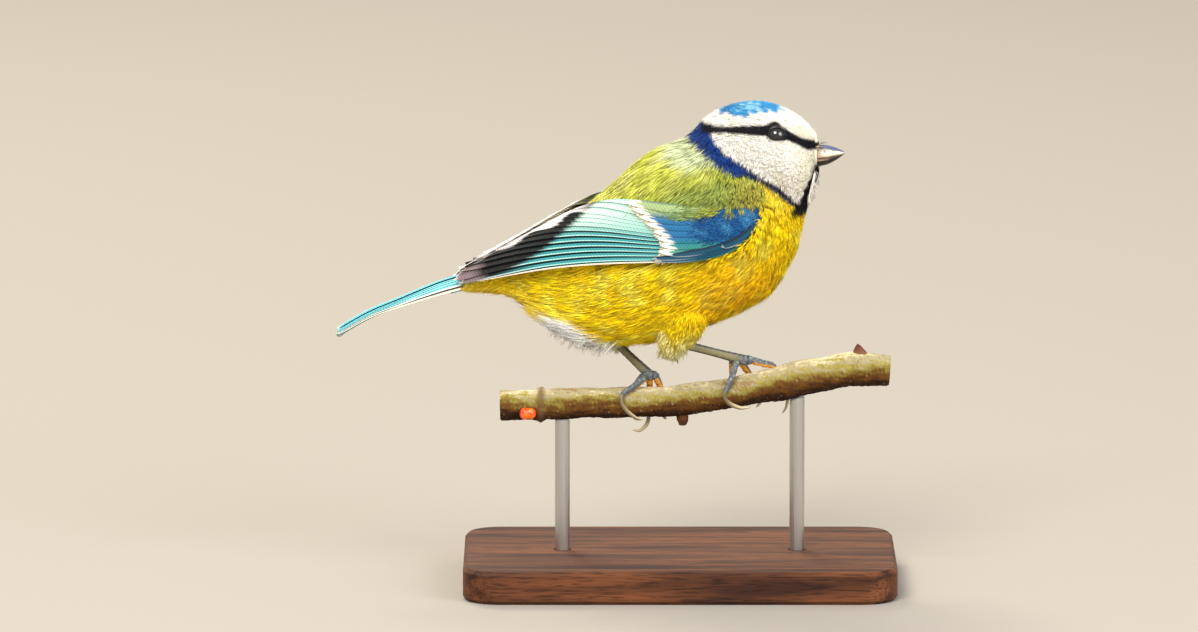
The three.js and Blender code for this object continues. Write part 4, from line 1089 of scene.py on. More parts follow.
def flight_colours(kind, share, across, along, up, show):
    """Colour over one vane. kind counts the feathers from the lowest, share and across run along it
    and over it, along and up are its place on the wing, and show is the part of its width that shows."""
    shape = np.broadcast(share, across).shape
    measures = (share, across, along, up, show)
    share, across, along, up, show = (np.broadcast_to(v, shape).ravel() for v in measures)
    within = across / np.maximum(show, 0.05)
    inner = float(smoothstep(kind, PRIMARIES - 1.5, PRIMARIES + 2))
    web = painted("#3A8E92", "#96C0B4", inner + 0 * share)
    web = painted(web, "#CFE2CE", inner * smoothstep(share, 0.35, 0.8) * 0.8)
    # Pale lower edge of each strip: the feather's pale edge with a painted highlight, where the raised edge
    # catches the light.
    web = painted(web, "#B4DED4", (1 - smoothstep(within, 0.05, 0.3)) * (0.75 - 0.35 * inner))
    gap = painted("#0C2026", "#86B4A8", inner + 0 * share)
    shaft = np.exp(-((within - 0.36) / 0.07) ** 2) * smoothstep(share, 0.1, 0.3)
    web = painted(web, "#1B545C", shaft * (0.75 - 0.5 * inner))
    # From dark_from up, each strip takes the gap colour: the dark inner web, with painted shade under the
    # next feather's edge, paler on the inner feathers.
    dark_from = 0.68 + 0.14 * inner
    web = painted(web, gap, smoothstep(within, dark_from - 0.09, dark_from + 0.03))
    dull = smoothstep(along, 0.76, 0.9) * float(smoothstep(kind, 0, 1))
    web = painted(web, "#15151A", dull * smoothstep(within, 0.1, 0.25))
    web = painted(web, "#B4BCBA", dull * (1 - smoothstep(within, 0.05, 0.13)) * 0.6)
    # Black towards the tip on the upper feathers: their dark inner webs, deepened to black as painted
    # shadow of the gap between the two wings.
    black = smoothstep(up - 1 + np.interp(along, *BLACK_SHARE), -0.04, 0.04)
    web = painted(web, "#08070A", black * (0.97 + 0.02 * smoothstep(within, 0.05, 0.2)))
    if kind == 0:
        web = painted(web, "#DCC2AC", 1 - smoothstep(within, 0.45, 0.6))
    steps = 0.9 - 0.05 * np.sin(55 * along)
    rim = smoothstep(up - steps, 0, 0.03) * smoothstep(along, 0.58, 0.66)
    rim = rim * (1 - smoothstep(along, 0.9, 0.95))
    web = painted(web, "#EFE6E6", rim * 0.9)
    if kind in (1, 2, 3):
        end = smoothstep(share, 0.88, 0.93)
        web = painted(web, "#6E5F62", end)
        rim = np.maximum(smoothstep(share, 0.985, 0.995), end * smoothstep(across, 0.82, 0.92))
        web = painted(web, "#F1ECE6", rim)
    return web.reshape(*shape, 3)


def flight_feathers(sign):
    """All flight feathers of one wing, as plates."""
    count = len(FLIGHT_TIPS)
    share = np.linspace(0, 1, 44)[None, :, None]
    across = np.linspace(0, 1, 24)[None, None, :]
    along = FLIGHT_ROOT + (FLIGHT_TIPS[:, None] - FLIGHT_ROOT) * share[0, :, 0]
    low, wide = strips_at(along)
    index = np.arange(count)
    low = low[index, :, index]
    wide = wide[index, :, index]
    hidden = HIDDEN_WEB / wing_width(along)
    hidden = np.minimum(hidden, np.maximum(1.02 - low - wide, 0.0))
    span = (wide + hidden)[..., None]
    close = vane_round(share, 0.9)
    up = low[..., None] + span * (0.5 + (across - 0.5) * close)
    sink = 0.7 * (1 - smoothstep(share, 0, 0.12))
    rise = STRIP_RISE * np.interp(index, [PRIMARIES - 1, PRIMARIES + 2], [1, 0.4])[:, None, None]
    height = rise * (1 - across) - 0.3 * across - sink + 0.1 * np.sin(math.pi * across)
    along = np.broadcast_to(along[..., None], up.shape)
    outer, inner = (on_wing(sign, along, up, height + lift) for lift in VANE_FACES)
    show = wide[..., None] / span
    colours = np.stack([
        flight_colours(k, share[0], across[0], along[k], up[k], show[k]) for k in range(count)
    ])
    return vane_plates(outer, inner, colours)


# %% [markdown]
# ## Coverts
# Rows of shorter feathers cover the roots of the flight feathers. The greater coverts end in
# white, and side by side those tips make the wing bar, which bends forward in its middle. Three
# long primary coverts and the short alula lie in front of it along the lower edge.
# %% Coverts
# How far along the wing the bar lies, from its lower edge to its upper one.
BAR_REACH = [(0.505,), (0.462,), (0.457,), (0.475,), (0.495,)]
GREATER = 9
# Root and tip as (along, up), and width in millimetres.
PRIMARY_COVERTS = [
    ((0.2, 0.17), (0.45, 0.12), 1.4),
    ((0.2, 0.11), (0.5, 0.07), 1.3),
    ((0.2, 0.05), (0.49, 0.03), 1.1),
    ((0.1, 0.12), (0.29, 0.13), 1.6),
]


def covert_plates(sign, roots, tips, widths, heights, paint):
    """Coverts as plates: each runs from its root to its tip (along, up), this wide in millimetres."""
    rows, columns = 22, 9
    share = np.linspace(0, 1, rows)[None, :, None]
    across = np.linspace(0, 1, columns)[None, None, :]
    roots, tips = np.asarray(roots, float), np.asarray(tips, float)
    line = roots[:, None] + (tips - roots)[:, None] * share
    along = np.broadcast_to(line[..., :1], (len(roots), rows, columns))
    half = (widths[:, None, None] / 2) * vane_round(share, 0.72) * (0.6 + 0.4 * smoothstep(share, 0, 0.3))
    up = line[..., 1:] + (2 * across - 1) * half / wing_width(line[..., :1])
    low, high = heights
    height = low + (high - low) * np.sqrt(share) + 0.32 * (0.5 - across) + 0.15 * np.sin(math.pi * across)
    outer, inner = (on_wing(sign, along, up, height + lift) for lift in VANE_FACES)
    colours = paint(np.broadcast_to(share, up.shape), np.broadcast_to(across, up.shape), up)
    return vane_plates(outer, inner, colours)


def greater_paint(share, across, up):
    """Blue-green, bluer higher up and olive at the top, dark inside, with a white end."""
    base = painted("#2E7A78", "#25608C", smoothstep(up, 0.2, 0.45).ravel())
    base = painted(base, "#4F8A76", (1 - smoothstep(up, 0.1, 0.3)).ravel() * 0.7)
    base = painted(base, "#8CA070", smoothstep(up, 0.7, 0.88).ravel())
    base = painted(base, "#1C4654", smoothstep(across, 0.72, 0.85).ravel() * 0.6)
    base = painted(base, "#F6F0DE", smoothstep(share + 0.03 * np.sin(9 * across), 0.88, 0.92).ravel())
    return base.reshape(*share.shape, 3)


def primary_covert_paint(share, across, up):
    """Dark blue-green with a thin pale outer edge and tip."""
    base = painted("#19455C", "#15283A", smoothstep(across, 0.5, 0.75).ravel())
    pale = (1 - smoothstep(across, 0.05, 0.16)) * smoothstep(share, 0.55, 0.85)
    base = painted(base, "#DDE6E2", np.maximum(pale, smoothstep(share, 0.96, 0.985)).ravel() * 0.85)
    return base.reshape(*share.shape, 3)


def wing_arm(sign):
    """The flesh of the wing under its coverts, a plate that thins to its rim."""
    a, b = np.meshgrid(np.linspace(0.03, 0.33, 24), np.linspace(0.04, 0.94, 16), indexing="ij")
    full = (1 - (2 * b - 1) ** 4) * smoothstep(a, 0, 0.12)
    outer = on_wing(sign, a, b, 0.4 * full - 0.2)[None]
    inner = on_wing(sign, a, b, -0.5 - 1.2 * full)[None]
    return vane_plates(outer, inner, np.broadcast_to(linear("#16324F"), outer.shape))


def whole_wing(sign):
    """Arm, flight feathers and coverts of one wing, in one list of plates."""
    up = (np.arange(GREATER) + 0.5) / GREATER
    tips = np.stack([rows_at(BAR_REACH, up * 4)[:, 0], up], -1)
    roots = np.stack([np.full(GREATER, 0.14), up], -1)
    widths = np.full(GREATER, 2.3)
    greater = covert_plates(sign, roots, tips, widths, (-0.1, 0.95), greater_paint)
    first, last, wide = (np.array(v) for v in zip(*PRIMARY_COVERTS))
    primary = covert_plates(sign, first, last, wide, (0.5, 1.15), primary_covert_paint)
    return [wing_arm(sign), flight_feathers(sign), greater, primary]


for side, sign in SIDES.items():
    points, faces, colours = joined_colours(whole_wing(sign))
    wing = make_piece(f"vanes_wing_{side}", points, faces, vane_keratin, colours)
    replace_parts(wing, f"wing_{side}")

# %% [markdown]
# ## Lesser coverts
# The front of the wing is clothed like the body, in small soft blue feathers, so it uses the
# same way of growing a coat, on the wing's sheet with a slight swell. The scapulars above them and
# a row of small white feathers over the wing bar grow in the same way.


# %% Lesser coverts
def covert_blue(points):
    """Deep blue, lighter in soft blots, greener and duller towards the lower edge."""
    blot = ripple(points, 5.0, 31)
    base = painted("#1C5894", "#3C80B2", smoothstep(blot, 0.1, 1.3))
    base = painted(base, "#153F7C", smoothstep(-blot, 0.4, 1.3))
    base = painted(base, "#2F7288", smoothstep(points[:, 2], 77, 73) * 0.8)
    base = painted(base, "#24687E", smoothstep(points[:, 0], 2, -7) * 0.7)
    low_front = smoothstep(points[:, 2], 74.5, 72.5) * smoothstep(points[:, 0], 2, 8)
    return painted(base, "#16374F", low_front * 0.8)


SCAPULAR_EDGE = [
    (-11.7, 86.0), (-8.5, 82.4), (-4.2, 80.4), (2.2, 80.4), (8.5, 81.9), (12.8, 84.2), (17.5, 86.0),
]


def scapular_green(points):
    """Olive over the shoulder, greyer and bluer towards the wing bar."""
    blot = ripple(points, 4.0, 33)
    base = painted("#8E9A3C", "#A9AE4A", smoothstep(blot, 0, 1.3))
    base = painted(base, "#7FA06A", smoothstep(points[:, 0], 8, -2))
    return painted(base, "#A9BF8A", smoothstep(points[:, 0], -3, -10))


def bar_white(points):
    """The warm white of the wing bar."""
    return np.tile(linear("#F8F1DE"), (len(points), 1))


def above_scapular_edge(surface, along, up):
    """Where a wing's surface lies more than 0.8 mm above the lower edge of the scapulars."""
    point = surface(along, up)
    return point[..., 2] > np.interp(point[..., 0], *np.array(SCAPULAR_EDGE).T) + 0.8


def lesser_density(surface):
    """Lesser coverts a square millimetre: below the scapulars, and clear of the primary coverts."""

    def density(along, up):
        return 3.8 * ~above_scapular_edge(surface, along, up) * ((up > 0.1) | (along < 0.2))

    return density


def scapular_density(surface):
    """Scapulars a square millimetre: none below their edge."""

    def density(along, up):
        return 2.6 * above_scapular_edge(surface, along, up)

    return density


def bar_density(along, up):
    """Small white feathers a square millimetre: only in a narrow band along the wing bar."""
    return 9.0 * (np.abs(along + 0.022 - rows_at(BAR_REACH, up * 4)[..., 0]) < 0.01)


for side, sign in SIDES.items():
    surface = wing_at(sign, 0.55)
    roots = spread_roots(surface, (0.01, 0.39), (0.01, 0.98), lesser_density(surface), (80, 60))
    sizes = {"blades": 5, "length": 2.6, "spread": 0.6, "width": 0.3, "depth": 0.8, "lift": 0.25}
    sizes.update(loose=0.2, stray=0.04, stray_rise=0.4)
    grow_coat(f"coat_wing_{side}", surface, wing_axis, roots, sizes, covert_blue)
    sizes.update(blades=9, length=4.2, spread=0.7, width=0.24, depth=1.2, lift=0.1, lie=-0.3, loose=0.15)
    bar_surface = wing_at(sign, 0.85)
    roots = spread_roots(bar_surface, (0.3, 0.52), (0.03, 0.99), bar_density, (160, 60))
    bar_sizes = {**sizes, "blades": 5, "length": 1.7, "spread": 0.4, "width": 0.2, "loose": 0.3}
    grow_coat(f"coat_bar_{side}", bar_surface, wing_axis, roots, bar_sizes, bar_white)
    surface = wing_at(sign, 1.0)
    roots = spread_roots(surface, (-0.04, 0.4), (0.3, 1.06), scapular_density(surface), (90, 60))
    grow_coat(f"coat_scapulars_{side}", surface, wing_axis, roots, sizes, scapular_green)

# %% [markdown]
# ## Tail
# Twelve feathers lie as a low roof, the middle pair on top and each outer one under the last.
# Their outer webs are blue, the inner webs are dark, and the two outer pairs are edged in white.
# %% Tail
TAIL_LINE = [
    (-46.1, 63.4, 2.9, 2.6), (-51.1, 62.2, 3.5, 2.2), (-59.6, 59.8, 4.6, 1.1), (-66.0, 57.6, 5.5, 0.6),
    (-73.0, 53.8, 6.2, 0.4),
]
TAIL_PAIRS = 6
TAIL_TIPS = np.array([0.965, 0.98, 0.99, 1.0, 0.995, 0.98])


def on_tail(share, y, height):
    """Point over the tail: a share of its length, the distance from its middle line and a height."""
    place = share * (len(TAIL_LINE) - 1)
    row = rows_at(TAIL_LINE, place)
    ahead = rows_at(TAIL_LINE, place + 0.05)
    up = unit(np.stack([ahead[..., 1] - row[..., 1], 0 * place, row[..., 0] - ahead[..., 0]], -1))
    roof = row[..., 3] * (1 - (y / row[..., 2]) ** 2)
    return np.stack([row[..., 0], y, row[..., 1]], -1) + up * (height + roof)[..., None]


def tail_feathers(sign):
    """The six feathers of one side as plates, from the middle pair outwards."""
    share = np.linspace(0, 1, 40)[None, :, None]
    across = np.linspace(0, 1, 10)[None, None, :]
    pair = np.arange(TAIL_PAIRS)[:, None, None]
    reach = TAIL_TIPS[:, None, None] * share
    lane = rows_at(TAIL_LINE, reach * (len(TAIL_LINE) - 1))[..., 2] / TAIL_PAIRS
    hidden = np.where(pair == 0, 0.0, 0.9)
    middle = lane * (pair + 1) - (lane + hidden) / 2
    y = middle + (across - 0.5) * (lane + hidden) * vane_round(share, 0.9)
    height = 0.45 * across - (0.3 * (1 - across) + 0.25) * (pair > 0) + 0.08 * np.sin(math.pi * across)
    reach = np.broadcast_to(reach, y.shape)
    outer, inner = (on_tail(reach, sign * y, height + lift) for lift in VANE_FACES)

    def flat(values):
        return np.broadcast_to(values, y.shape).ravel()

    colour = painted("#45B4C6", "#8ADCE0", flat(smoothstep(across, 0.5, 0.9)))
    colour = painted(colour, "#1E5680", flat((1 - smoothstep(across, 0.45, 0.7)) * (pair == 0)))
    colour = painted(colour, "#1D3A48", flat(np.exp(-((across - 0.56) / 0.04) ** 2)) * 0.5)
    colour = painted(colour, "#232A33", flat((1 - smoothstep(across, 0.1, 0.25)) * (pair > 0)) * 0.8)
    colour = painted(colour, "#F4F1EA", flat(smoothstep(across, 0.8, 0.9) * (pair == TAIL_PAIRS - 2)))
    colour = painted(colour, "#181A20", flat(smoothstep(across, 0.5, 0.6) * (pair == TAIL_PAIRS - 1)))
    colour = painted(colour, "#F2E8C8", flat(smoothstep(across, 0.76, 0.84) * (pair == TAIL_PAIRS - 1)))
    colour = painted(colour, "#E7ECEA", flat(smoothstep(share, 0.972, 0.99)) * 0.7)
    return vane_plates(outer, inner, colour.reshape(*y.shape, 3))


def tail_root():
    """The plump root of the tail, which the rump's feathers cover."""
    share, angle = round_grid(0, 0.14, 12, 24)
    half = rows_at(TAIL_LINE, share * (len(TAIL_LINE) - 1))[..., 2]
    rings = on_tail(share, half * 0.9 * np.cos(angle), -0.6 + (0.8 - 5 * share) * np.sin(angle))
    points, faces = closed_tube(rings)
    return points, faces, np.tile(linear("#3C98AC"), (len(points), 1))


points, faces, colours = joined_colours([tail_feathers(-1), tail_feathers(1), tail_root()])
tail = make_piece("vanes_tail", points, faces, vane_keratin, colours)
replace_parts(tail, "tail")

# %% [markdown]
# ## Eyes
# A blue tit's eye is dark brown, nearly black, and wet, with a ball 4.4 mm across of which the
# lids show about 3 mm. The lid is a roll of bare dark skin that lies on the ball, and very short
# feathers stand round it.
# %% Eyes and lids
EYE_RADIUS = 2.2
EYE_SINK = 1.2
LID_HALF = (1.45, 1.12)
LID_ROLL = 0.2


def eye_frame(sign):
    """Middle of the eyeball before the head turns, and directions out of the head, ahead and up."""
    side = np.array([1, sign, 1])
    out = unit(EYE_OUT * side)
    up = unit(np.array([0, 0, 1.0]) - out * out[2])
    return EYE_POINT * side - out * EYE_SINK, out, np.cross(up, out) * -sign, up


def on_eye(sign, polar, turn, radius):
    """Point at an angle from the way out of the head, turned round it, on a ball of this radius."""
    centre, out, ahead, up = eye_frame(sign)
    spoke = np.cos(turn)[..., None] * ahead + np.sin(turn)[..., None] * up
    ball = np.cos(polar)[..., None] * out + np.sin(polar)[..., None] * spoke
    return centre + ball * np.asarray(radius)[..., None]


def opening(turn):
    """Angle from the way out to the rim of the lids: an almond, longer than it is high."""
    almond = 1 / np.hypot(np.cos(turn) / LID_HALF[0], np.sin(turn) / LID_HALF[1]) + 0.1 * np.cos(turn) ** 8
    return np.arcsin(almond / EYE_RADIUS)


def eyeball(sign):
    """A sphere of rings round the direction out of the head, pupil first."""
    polar, turn = round_grid(0.02, 3.12, 40, 48)
    iris = smoothstep(polar, 0.42, 0.5)
    colour = painted("#050406", "#140A07", iris.ravel())
    points, faces = closed_tube(on_eye(sign, polar, turn, np.full(polar.shape, EYE_RADIUS)))
    return turn_head(points), faces, np.vstack([colour, linear("#050406"), linear("#050406")])


def eyelid(sign):
    """Skin drawn over the ball from the rim of the opening, rolled at the rim, and closed underneath."""
    around, steps = 96, 20
    turn, step = np.meshgrid(np.linspace(0, FULL_TURN, around, False), np.arange(steps), indexing="ij")
    share = np.clip(step / 13, 0, 1) - np.clip((step - 14) / 5, 0, 1)
    polar = opening(turn) + (1.2 - opening(turn)) * share
    roll = LID_ROLL * np.exp(-((polar - opening(turn) - 0.06) / 0.07) ** 2)
    fold = 1 + 0.15 * np.sin(30 * turn)
    radius = EYE_RADIUS + np.where(step < 14, 0.07 + roll * fold * (step > 0), -0.08)
    points = on_eye(sign, polar, turn, radius).reshape(-1, 3)
    number = np.arange(around * steps).reshape(around, steps)
    wrapped = np.pad(number, ((0, 1), (0, 1)), mode="wrap")
    corners = [wrapped[:-1, :-1], wrapped[:-1, 1:], wrapped[1:, 1:], wrapped[1:, :-1]]
    quads = np.stack(corners, -1).reshape(-1, 4)
    rim = smoothstep((polar - opening(turn)).ravel(), 0.16, 0.24)
    tint = painted("#0E0B0B", plumage(points), rim)
    return turn_head(points), outward(points, [quads]), tint


def lid_surface(sign):
    """The ball's surface just outside the lid, where its feathers stand."""

    def surface(polar, turn):
        return on_eye(sign, polar, turn, np.full(np.shape(polar), EYE_RADIUS + 0.14))

    return surface


def eye_middle(sign):
    """The middle of the eyeball, for every point given."""
    centre = eye_frame(sign)[0]

    def middle(points):
        return centre

    return middle


def lid_density(polar, turn):
    """Small feathers a square millimetre: none on the bare rim of the lids."""
    return 16.0 * (polar > opening(turn) + 0.16)


# A smooth clear coat gives the eye its one sharp highlight over a nearly black ball.
material, tree, place = start_material("wet_cornea_over_dark_iris")
colour = add(tree, "Attribute", attribute_name="paint").outputs["Color"]
ray = add(tree, "TexNoise", {"Vector": place, "Scale": 2500.0, "Detail": 3.0})
level = add(tree, "MapRange", {"Value": ray.outputs["Fac"], "To Min": 0.6, "To Max": 1.4})
mixed = add(tree, "Mix", {0: 1.0, 6: colour, 7: level.outputs["Result"]}, **MULTIPLY)
shader = {"Base Color": mixed.outputs[2], "Roughness": 0.08, "IOR": 1.38}
finish_material(tree, {**shader, "Coat Weight": 1.0, "Coat Roughness": 0.02})
cornea = material

# Fine wrinkles break up the light on the lid, so that it looks dry beside the wet eye.
material, tree, place = start_material("bare_lid_skin")
colour = add(tree, "Attribute", attribute_name="paint").outputs["Color"]
wrinkle = add(tree, "TexNoise", {"Vector": place, "Scale": 3000.0, "Detail": 3.0})
relief = add(tree, "Bump", {"Height": wrinkle.outputs["Fac"], "Distance": 0.00005})
shader = {"Base Color": colour, "Roughness": 0.5, "Specular IOR Level": 0.2}
finish_material(tree, {**shader, "Normal": relief.outputs["Normal"]})
lid_skin = material

for side, sign in SIDES.items():
    points, faces, colours = eyeball(sign)
    eye = make_piece(f"eyeball_{side}", points, faces, cornea, colours)
    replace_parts(eye, f"eye_{side}")
    points, faces, colours = eyelid(sign)
    make_piece(f"eyelid_{side}", points, faces, lid_skin, colours)
    surface = lid_surface(sign)
    roots = spread_roots(surface, (0.5, 1.2), (0, FULL_TURN), lid_density, (60, 90))
    sizes = {"blades": 3, "length": 0.75, "spread": 0.3, "width": 0.11, "depth": 0.1, "lift": 0.05}
    sizes.update(loose=0.4, stray=0.05, stray_rise=0.1)
    middle = eye_middle(sign)
    grow_coat(f"coat_lid_{side}", surface, middle, roots, sizes, plumage, turned)

# %% [markdown]
# ## Bill
# Each half of the bill is a stack of rings along X. The upper half is a curved roof over a flat
# floor at the cutting edge, and the lower half is a shallower trough. Horn is palest beside the
# cutting edge and darkest under the lower half. Along the ridge its blue-grey is lightened by a
# painted reflection, and the nostril's pit carries painted shade.
# %% Bill
BILL = [
    (28.0, 94.9, 91.5, 89.4, 2.5), (29.8, 94.6, 91.7, 89.9, 2.3), (31.6, 94.4, 91.9, 90.4, 1.75),
    (33.4, 93.9, 92.3, 91.4, 1.1), (34.6, 93.3, 92.7, 92.3, 0.5), (35.1, 93.0, 92.85, 92.7, 0.2),
]
PARTING = 0.13
NOSTRIL = np.array([31.0, 1.9, 93.3])


def bill_half(upper):
    """Rings y = half*sin(t), and z from the cutting edge to the ridge or keel by cos(t) above 0."""
    place, turn = round_grid(0, len(BILL) - 1, 48, 40)
    row = rows_at(BILL, place)
    x, ridge, edge, keel, half = np.moveaxis(row, -1, 0)
    roof = np.maximum(np.cos(turn), 0) ** 0.85
    floor_dip = np.minimum(np.cos(turn), 0)
    if upper:
        z = edge + PARTING + (ridge - edge - PARTING) * roof - floor_dip * 0.15 * half
    else:
        z = edge - PARTING - (edge - PARTING - keel) * roof + floor_dip * 0.15 * half
    y = half * np.sin(turn) * (1.0 if upper else 0.9)
    rings = np.stack([x, y, z], -1)
    if upper:
        pit = np.linalg.norm((mirrored(rings) - NOSTRIL) / np.array([0.75, 1.0, 0.4]), axis=-1)
        inward = np.array([0.0, 0.35, 0.1]) * np.stack([0 * y, -np.sign(y), -np.ones_like(y)], -1)
        rings = rings + inward * (1 - smoothstep(pit, 0.4, 1.0))[..., None]
    points, faces = closed_tube(rings)
    colour = bill_paint(points, upper)
    return turn_head(points), faces, colour


def bill_paint(points, upper):
    """Blue-grey ridge, lightened by a painted reflection, over a pale side on the upper half, with
    painted shade in the nostril; the lower half goes from horn to black.
    """
    x, y, z = points.T
    place = np.interp(x, [row[0] for row in BILL], range(len(BILL)))
    _, ridge, edge, keel, _ = np.moveaxis(rows_at(BILL, place), -1, 0)
    streak = ripple(points * np.array([0.4, 1.5, 1.5]), 1.0, 41)
    if upper:
        up = (z - edge) / np.maximum(ridge - edge, 0.2) + 0.06 * streak
        # The ridge's blue-grey is the horn's dark colour lightened by a painted reflection along its glossy
        # top.
        colour = painted("#E3D2B4", "#4B5474", smoothstep(up, 0.52, 0.78))
        colour = painted(colour, "#B98A62", (1 - smoothstep(up, 0.06, 0.2)) * 0.8)
        colour = painted(colour, "#8A5A3C", smoothstep(x, 30.6, 29.0) * 0.7)
        # Painted shade: the nostril's pit is darkened.
        pit = np.linalg.norm((mirrored(points) - NOSTRIL) / np.array([0.6, 1.2, 0.34]), axis=1)
        return painted(colour, "#1A1214", 1 - smoothstep(pit, 0.5, 0.95))
    down = (edge - z) / np.maximum(edge - keel, 0.2) + 0.05 * streak
    colour = painted("#C9A27E", "#120D0E", smoothstep(down, 0.0, 0.35))
    return painted(colour, "#1A1110", smoothstep(x, 30.8, 32.4) * 0.9)


# Horn is half glossy and lets a little light in, which softens the pale cutting edges.
material, tree, place = start_material("bill_keratin_horn")
grain = {"Vector": place, "Scale": 2500.0, "Detail": 4.0, "Roughness": 0.6}
grain = add(tree, "TexNoise", grain).outputs["Fac"]
shader = {"Roughness": 0.28, "Subsurface Weight": 0.1, "Subsurface Scale": 0.0006}
finish_painted(tree, grain, {"To Min": 0.85, "To Max": 1.15}, {"Distance": 0.00002}, shader)
horn = material

for half, upper in (("upper", True), ("lower", False)):
    points, faces, colours = bill_half(upper)
    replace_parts(make_piece(f"horn_bill_{half}", points, faces, horn, colours), f"bill_{half}")

# %% [markdown]
# ## Bristles and lores
# Short bristles lie forward over the nostrils, and loose pale hairs of the chin stand out on both
# sides of the bib. Both are the same closed blades as the coat, each on its own straight line.


# %% Bristles
def tufts(name, roots, heading, length, width, colours, seed, scatter, places):
    """Blades from given roots along given headings, bent a little by their own weight."""
    rng = np.random.default_rng(seed)
    share = np.linspace(0, 1, STATIONS)
    heading = unit(heading + rng.normal(0, scatter, roots.shape))
    reach = length * rng.uniform(0.6, 1.1, len(roots))
    line = roots[:, None] + heading[:, None] * (reach[:, None] * share)[..., None]
    line = line - np.array([0, 0, 0.18]) * (reach[:, None] * share ** 2)[..., None]
    normal = np.tile(np.array([0.0, 0.3, 1.0]), (len(roots), STATIONS, 1))
    widths = width * rng.uniform(0.7, 1.3, len(roots))
    points = blades(line, unit(normal), widths, rng.normal(0, 0.6, len(roots)))
    tint = np.repeat(colours, BLADE_POINTS, axis=0)
    uv = tuft_uv(places).reshape(-1, 2)
    faces = blade_faces(len(roots))
    points = turn_head(points.reshape(-1, 3))
    make_piece(name, points, faces, body_feather, tint, ("OFBake", uv))


rng = np.random.default_rng(77)
count = 220
side = np.where(np.arange(count) % 2 == 0, 1.0, -1.0)
root_x = rng.uniform(28.0, 29.9, count)
root_y = side * rng.uniform(1.2, 2.6, count)
start = np.stack([root_x, root_y, rng.uniform(91.6, 95.0, count)], 1)
ahead = np.stack([np.ones(count), side * 0.15, rng.uniform(-0.15, 0.25, count)], 1)
tint = np.where(rng.random((count, 1)) < 0.55, linear("#3A1E16"), linear("#E9D9B8"))
tufts("coat_bristles", start, ahead, 1.5, 0.11, tint, 78, 0.16, start[:, 1:])

count = 360
side = np.where(np.arange(count) % 2 == 0, 1.0, -1.0)
height = rng.uniform(83.5, 89.6, count)
front = np.interp(height, [81, 86.1, 89.5], [26.8, 28.4, 29.2])
start = np.stack([front, side * rng.uniform(1.6, 4.2, count) + BIB_CENTRE_Y * 0.5, height], 1)
ahead = np.stack([np.full(count, 0.1), side * 0.3, np.full(count, -0.9)], 1)
tint = np.where(rng.random((count, 1)) < 0.88, linear("#FFFCF4"), linear("#8C7A5C"))
tufts("coat_chin", start, ahead, 2.0, 0.1, tint, 79, 0.24, start[:, 1:])

# %% [markdown]
# ## Downy points
# Under the tail and over each heel the down parts into points. Every point is a clump of
# blades whose roots stand apart and whose headings meet at one tip beyond the coat.


# %% Downy points
CLUMP = 14


def clumps(name, surface, outside, places, angles, count, lean, reach, colour, seed):
    """Clumps of blades: the middle of each stands at a place and angle on the surface."""
    rng = np.random.default_rng(seed)
    first = rng.uniform(*places, count)
    second = rng.uniform(*angles, count)
    normal = surface_normal(surface, first, second, outside)
    length = reach * rng.uniform(0.7, 1.2, count)
    tip = surface(first, second) + unit(normal * 0.25 + np.array(lean)) * length[:, None]
    span = np.array([places[1] - places[0], angles[1] - angles[0]]) * 0.06
    jitter = rng.normal(0, 1, (count, CLUMP, 2)) * span
    places = np.stack([first, second], -1)[:, None] + jitter
    roots = surface(places[..., 0], places[..., 1]) - normal[:, None] * 0.6
    heading = (tip[:, None] - roots).reshape(-1, 3)
    tint = np.repeat(linear(colour) * rng.uniform(0.9, 1.0, (count, 1)), CLUMP, axis=0)
    size = np.linalg.norm(heading, axis=1)
    roots, places = roots.reshape(-1, 3), places.reshape(-1, 2)
    tufts(name, roots, heading, size, 0.12, tint, seed + 1, 0.04, places)


clumps(
    "coat_vent", body_at, body_axis, (2.3, 4.0), (math.pi - 0.45, math.pi + 0.45), 60,
    (-0.8, 0.0, -0.6), 2.4, "#FFFFFA", 91,
)
for side, seed in (("right", 93), ("left", 95)):
    clumps(
        f"coat_heel_{side}", thigh_at(side), thigh_axis(side), (0.55, 0.97),
        (0, FULL_TURN), 70, (-0.35, 0.0, -0.95), 1.6, "#FFFAC4", seed,
    )

# %% [markdown]
# ## Twig
# The twig is a tube whose centre line and radius come from rows along X. Bark swells and shrinks
# by tenths of a millimetre, and rings of fine wrinkles run round it. At each end the bark rolls
# over to a pale sawn face.
# %% Twig
PERCH = [
    (-38.3, 38.2, 3.3), (-25.5, 38.5, 3.4), (-12.8, 38.8, 3.35), (-4.3, 39.0, 3.35), (4.3, 39.8, 3.35),
    (12.8, 41.3, 3.4), (21.3, 42.8, 3.8), (25.5, 43.9, 3.9), (34.0, 45.5, 3.7), (38.3, 46.0, 3.8),
    (44.7, 45.6, 3.5),
]
PERCH_LINE = rows_at(PERCH, np.linspace(0, len(PERCH) - 1, 2000))
SCAR_X = -29.6
STUB_X = 0.6
TOP_BUD_X = 38.3
SIDE_BUD = np.array([-32.4, -3.3, 36.9])
SIDE_BUD_RADII = np.array([1.8, 1.1, 1.4])


def perch_frame(x):
    """Centre, radius and upward direction of the twig at places along X."""
    z, radius = (np.interp(x, PERCH_LINE[:, 0], PERCH_LINE[:, i]) for i in (1, 2))
    slope = np.interp(x, PERCH_LINE[:, 0], np.gradient(PERCH_LINE[:, 1], PERCH_LINE[:, 0]))
    up = unit(np.stack([-slope, np.zeros_like(slope), np.ones_like(slope)], -1))
    return np.stack([x, np.zeros_like(z), z], -1), radius, up


def on_perch(x, angle, height, scale=1.0):
    """Point over the bark: angle 0 is the top and a quarter turn is the bird's left."""
    centre, radius, up = perch_frame(x)
    spoke = up * np.cos(angle)[..., None] + np.array([0, 1.0, 0]) * np.sin(angle)[..., None]
    return centre + spoke * (radius * scale + height)[..., None]


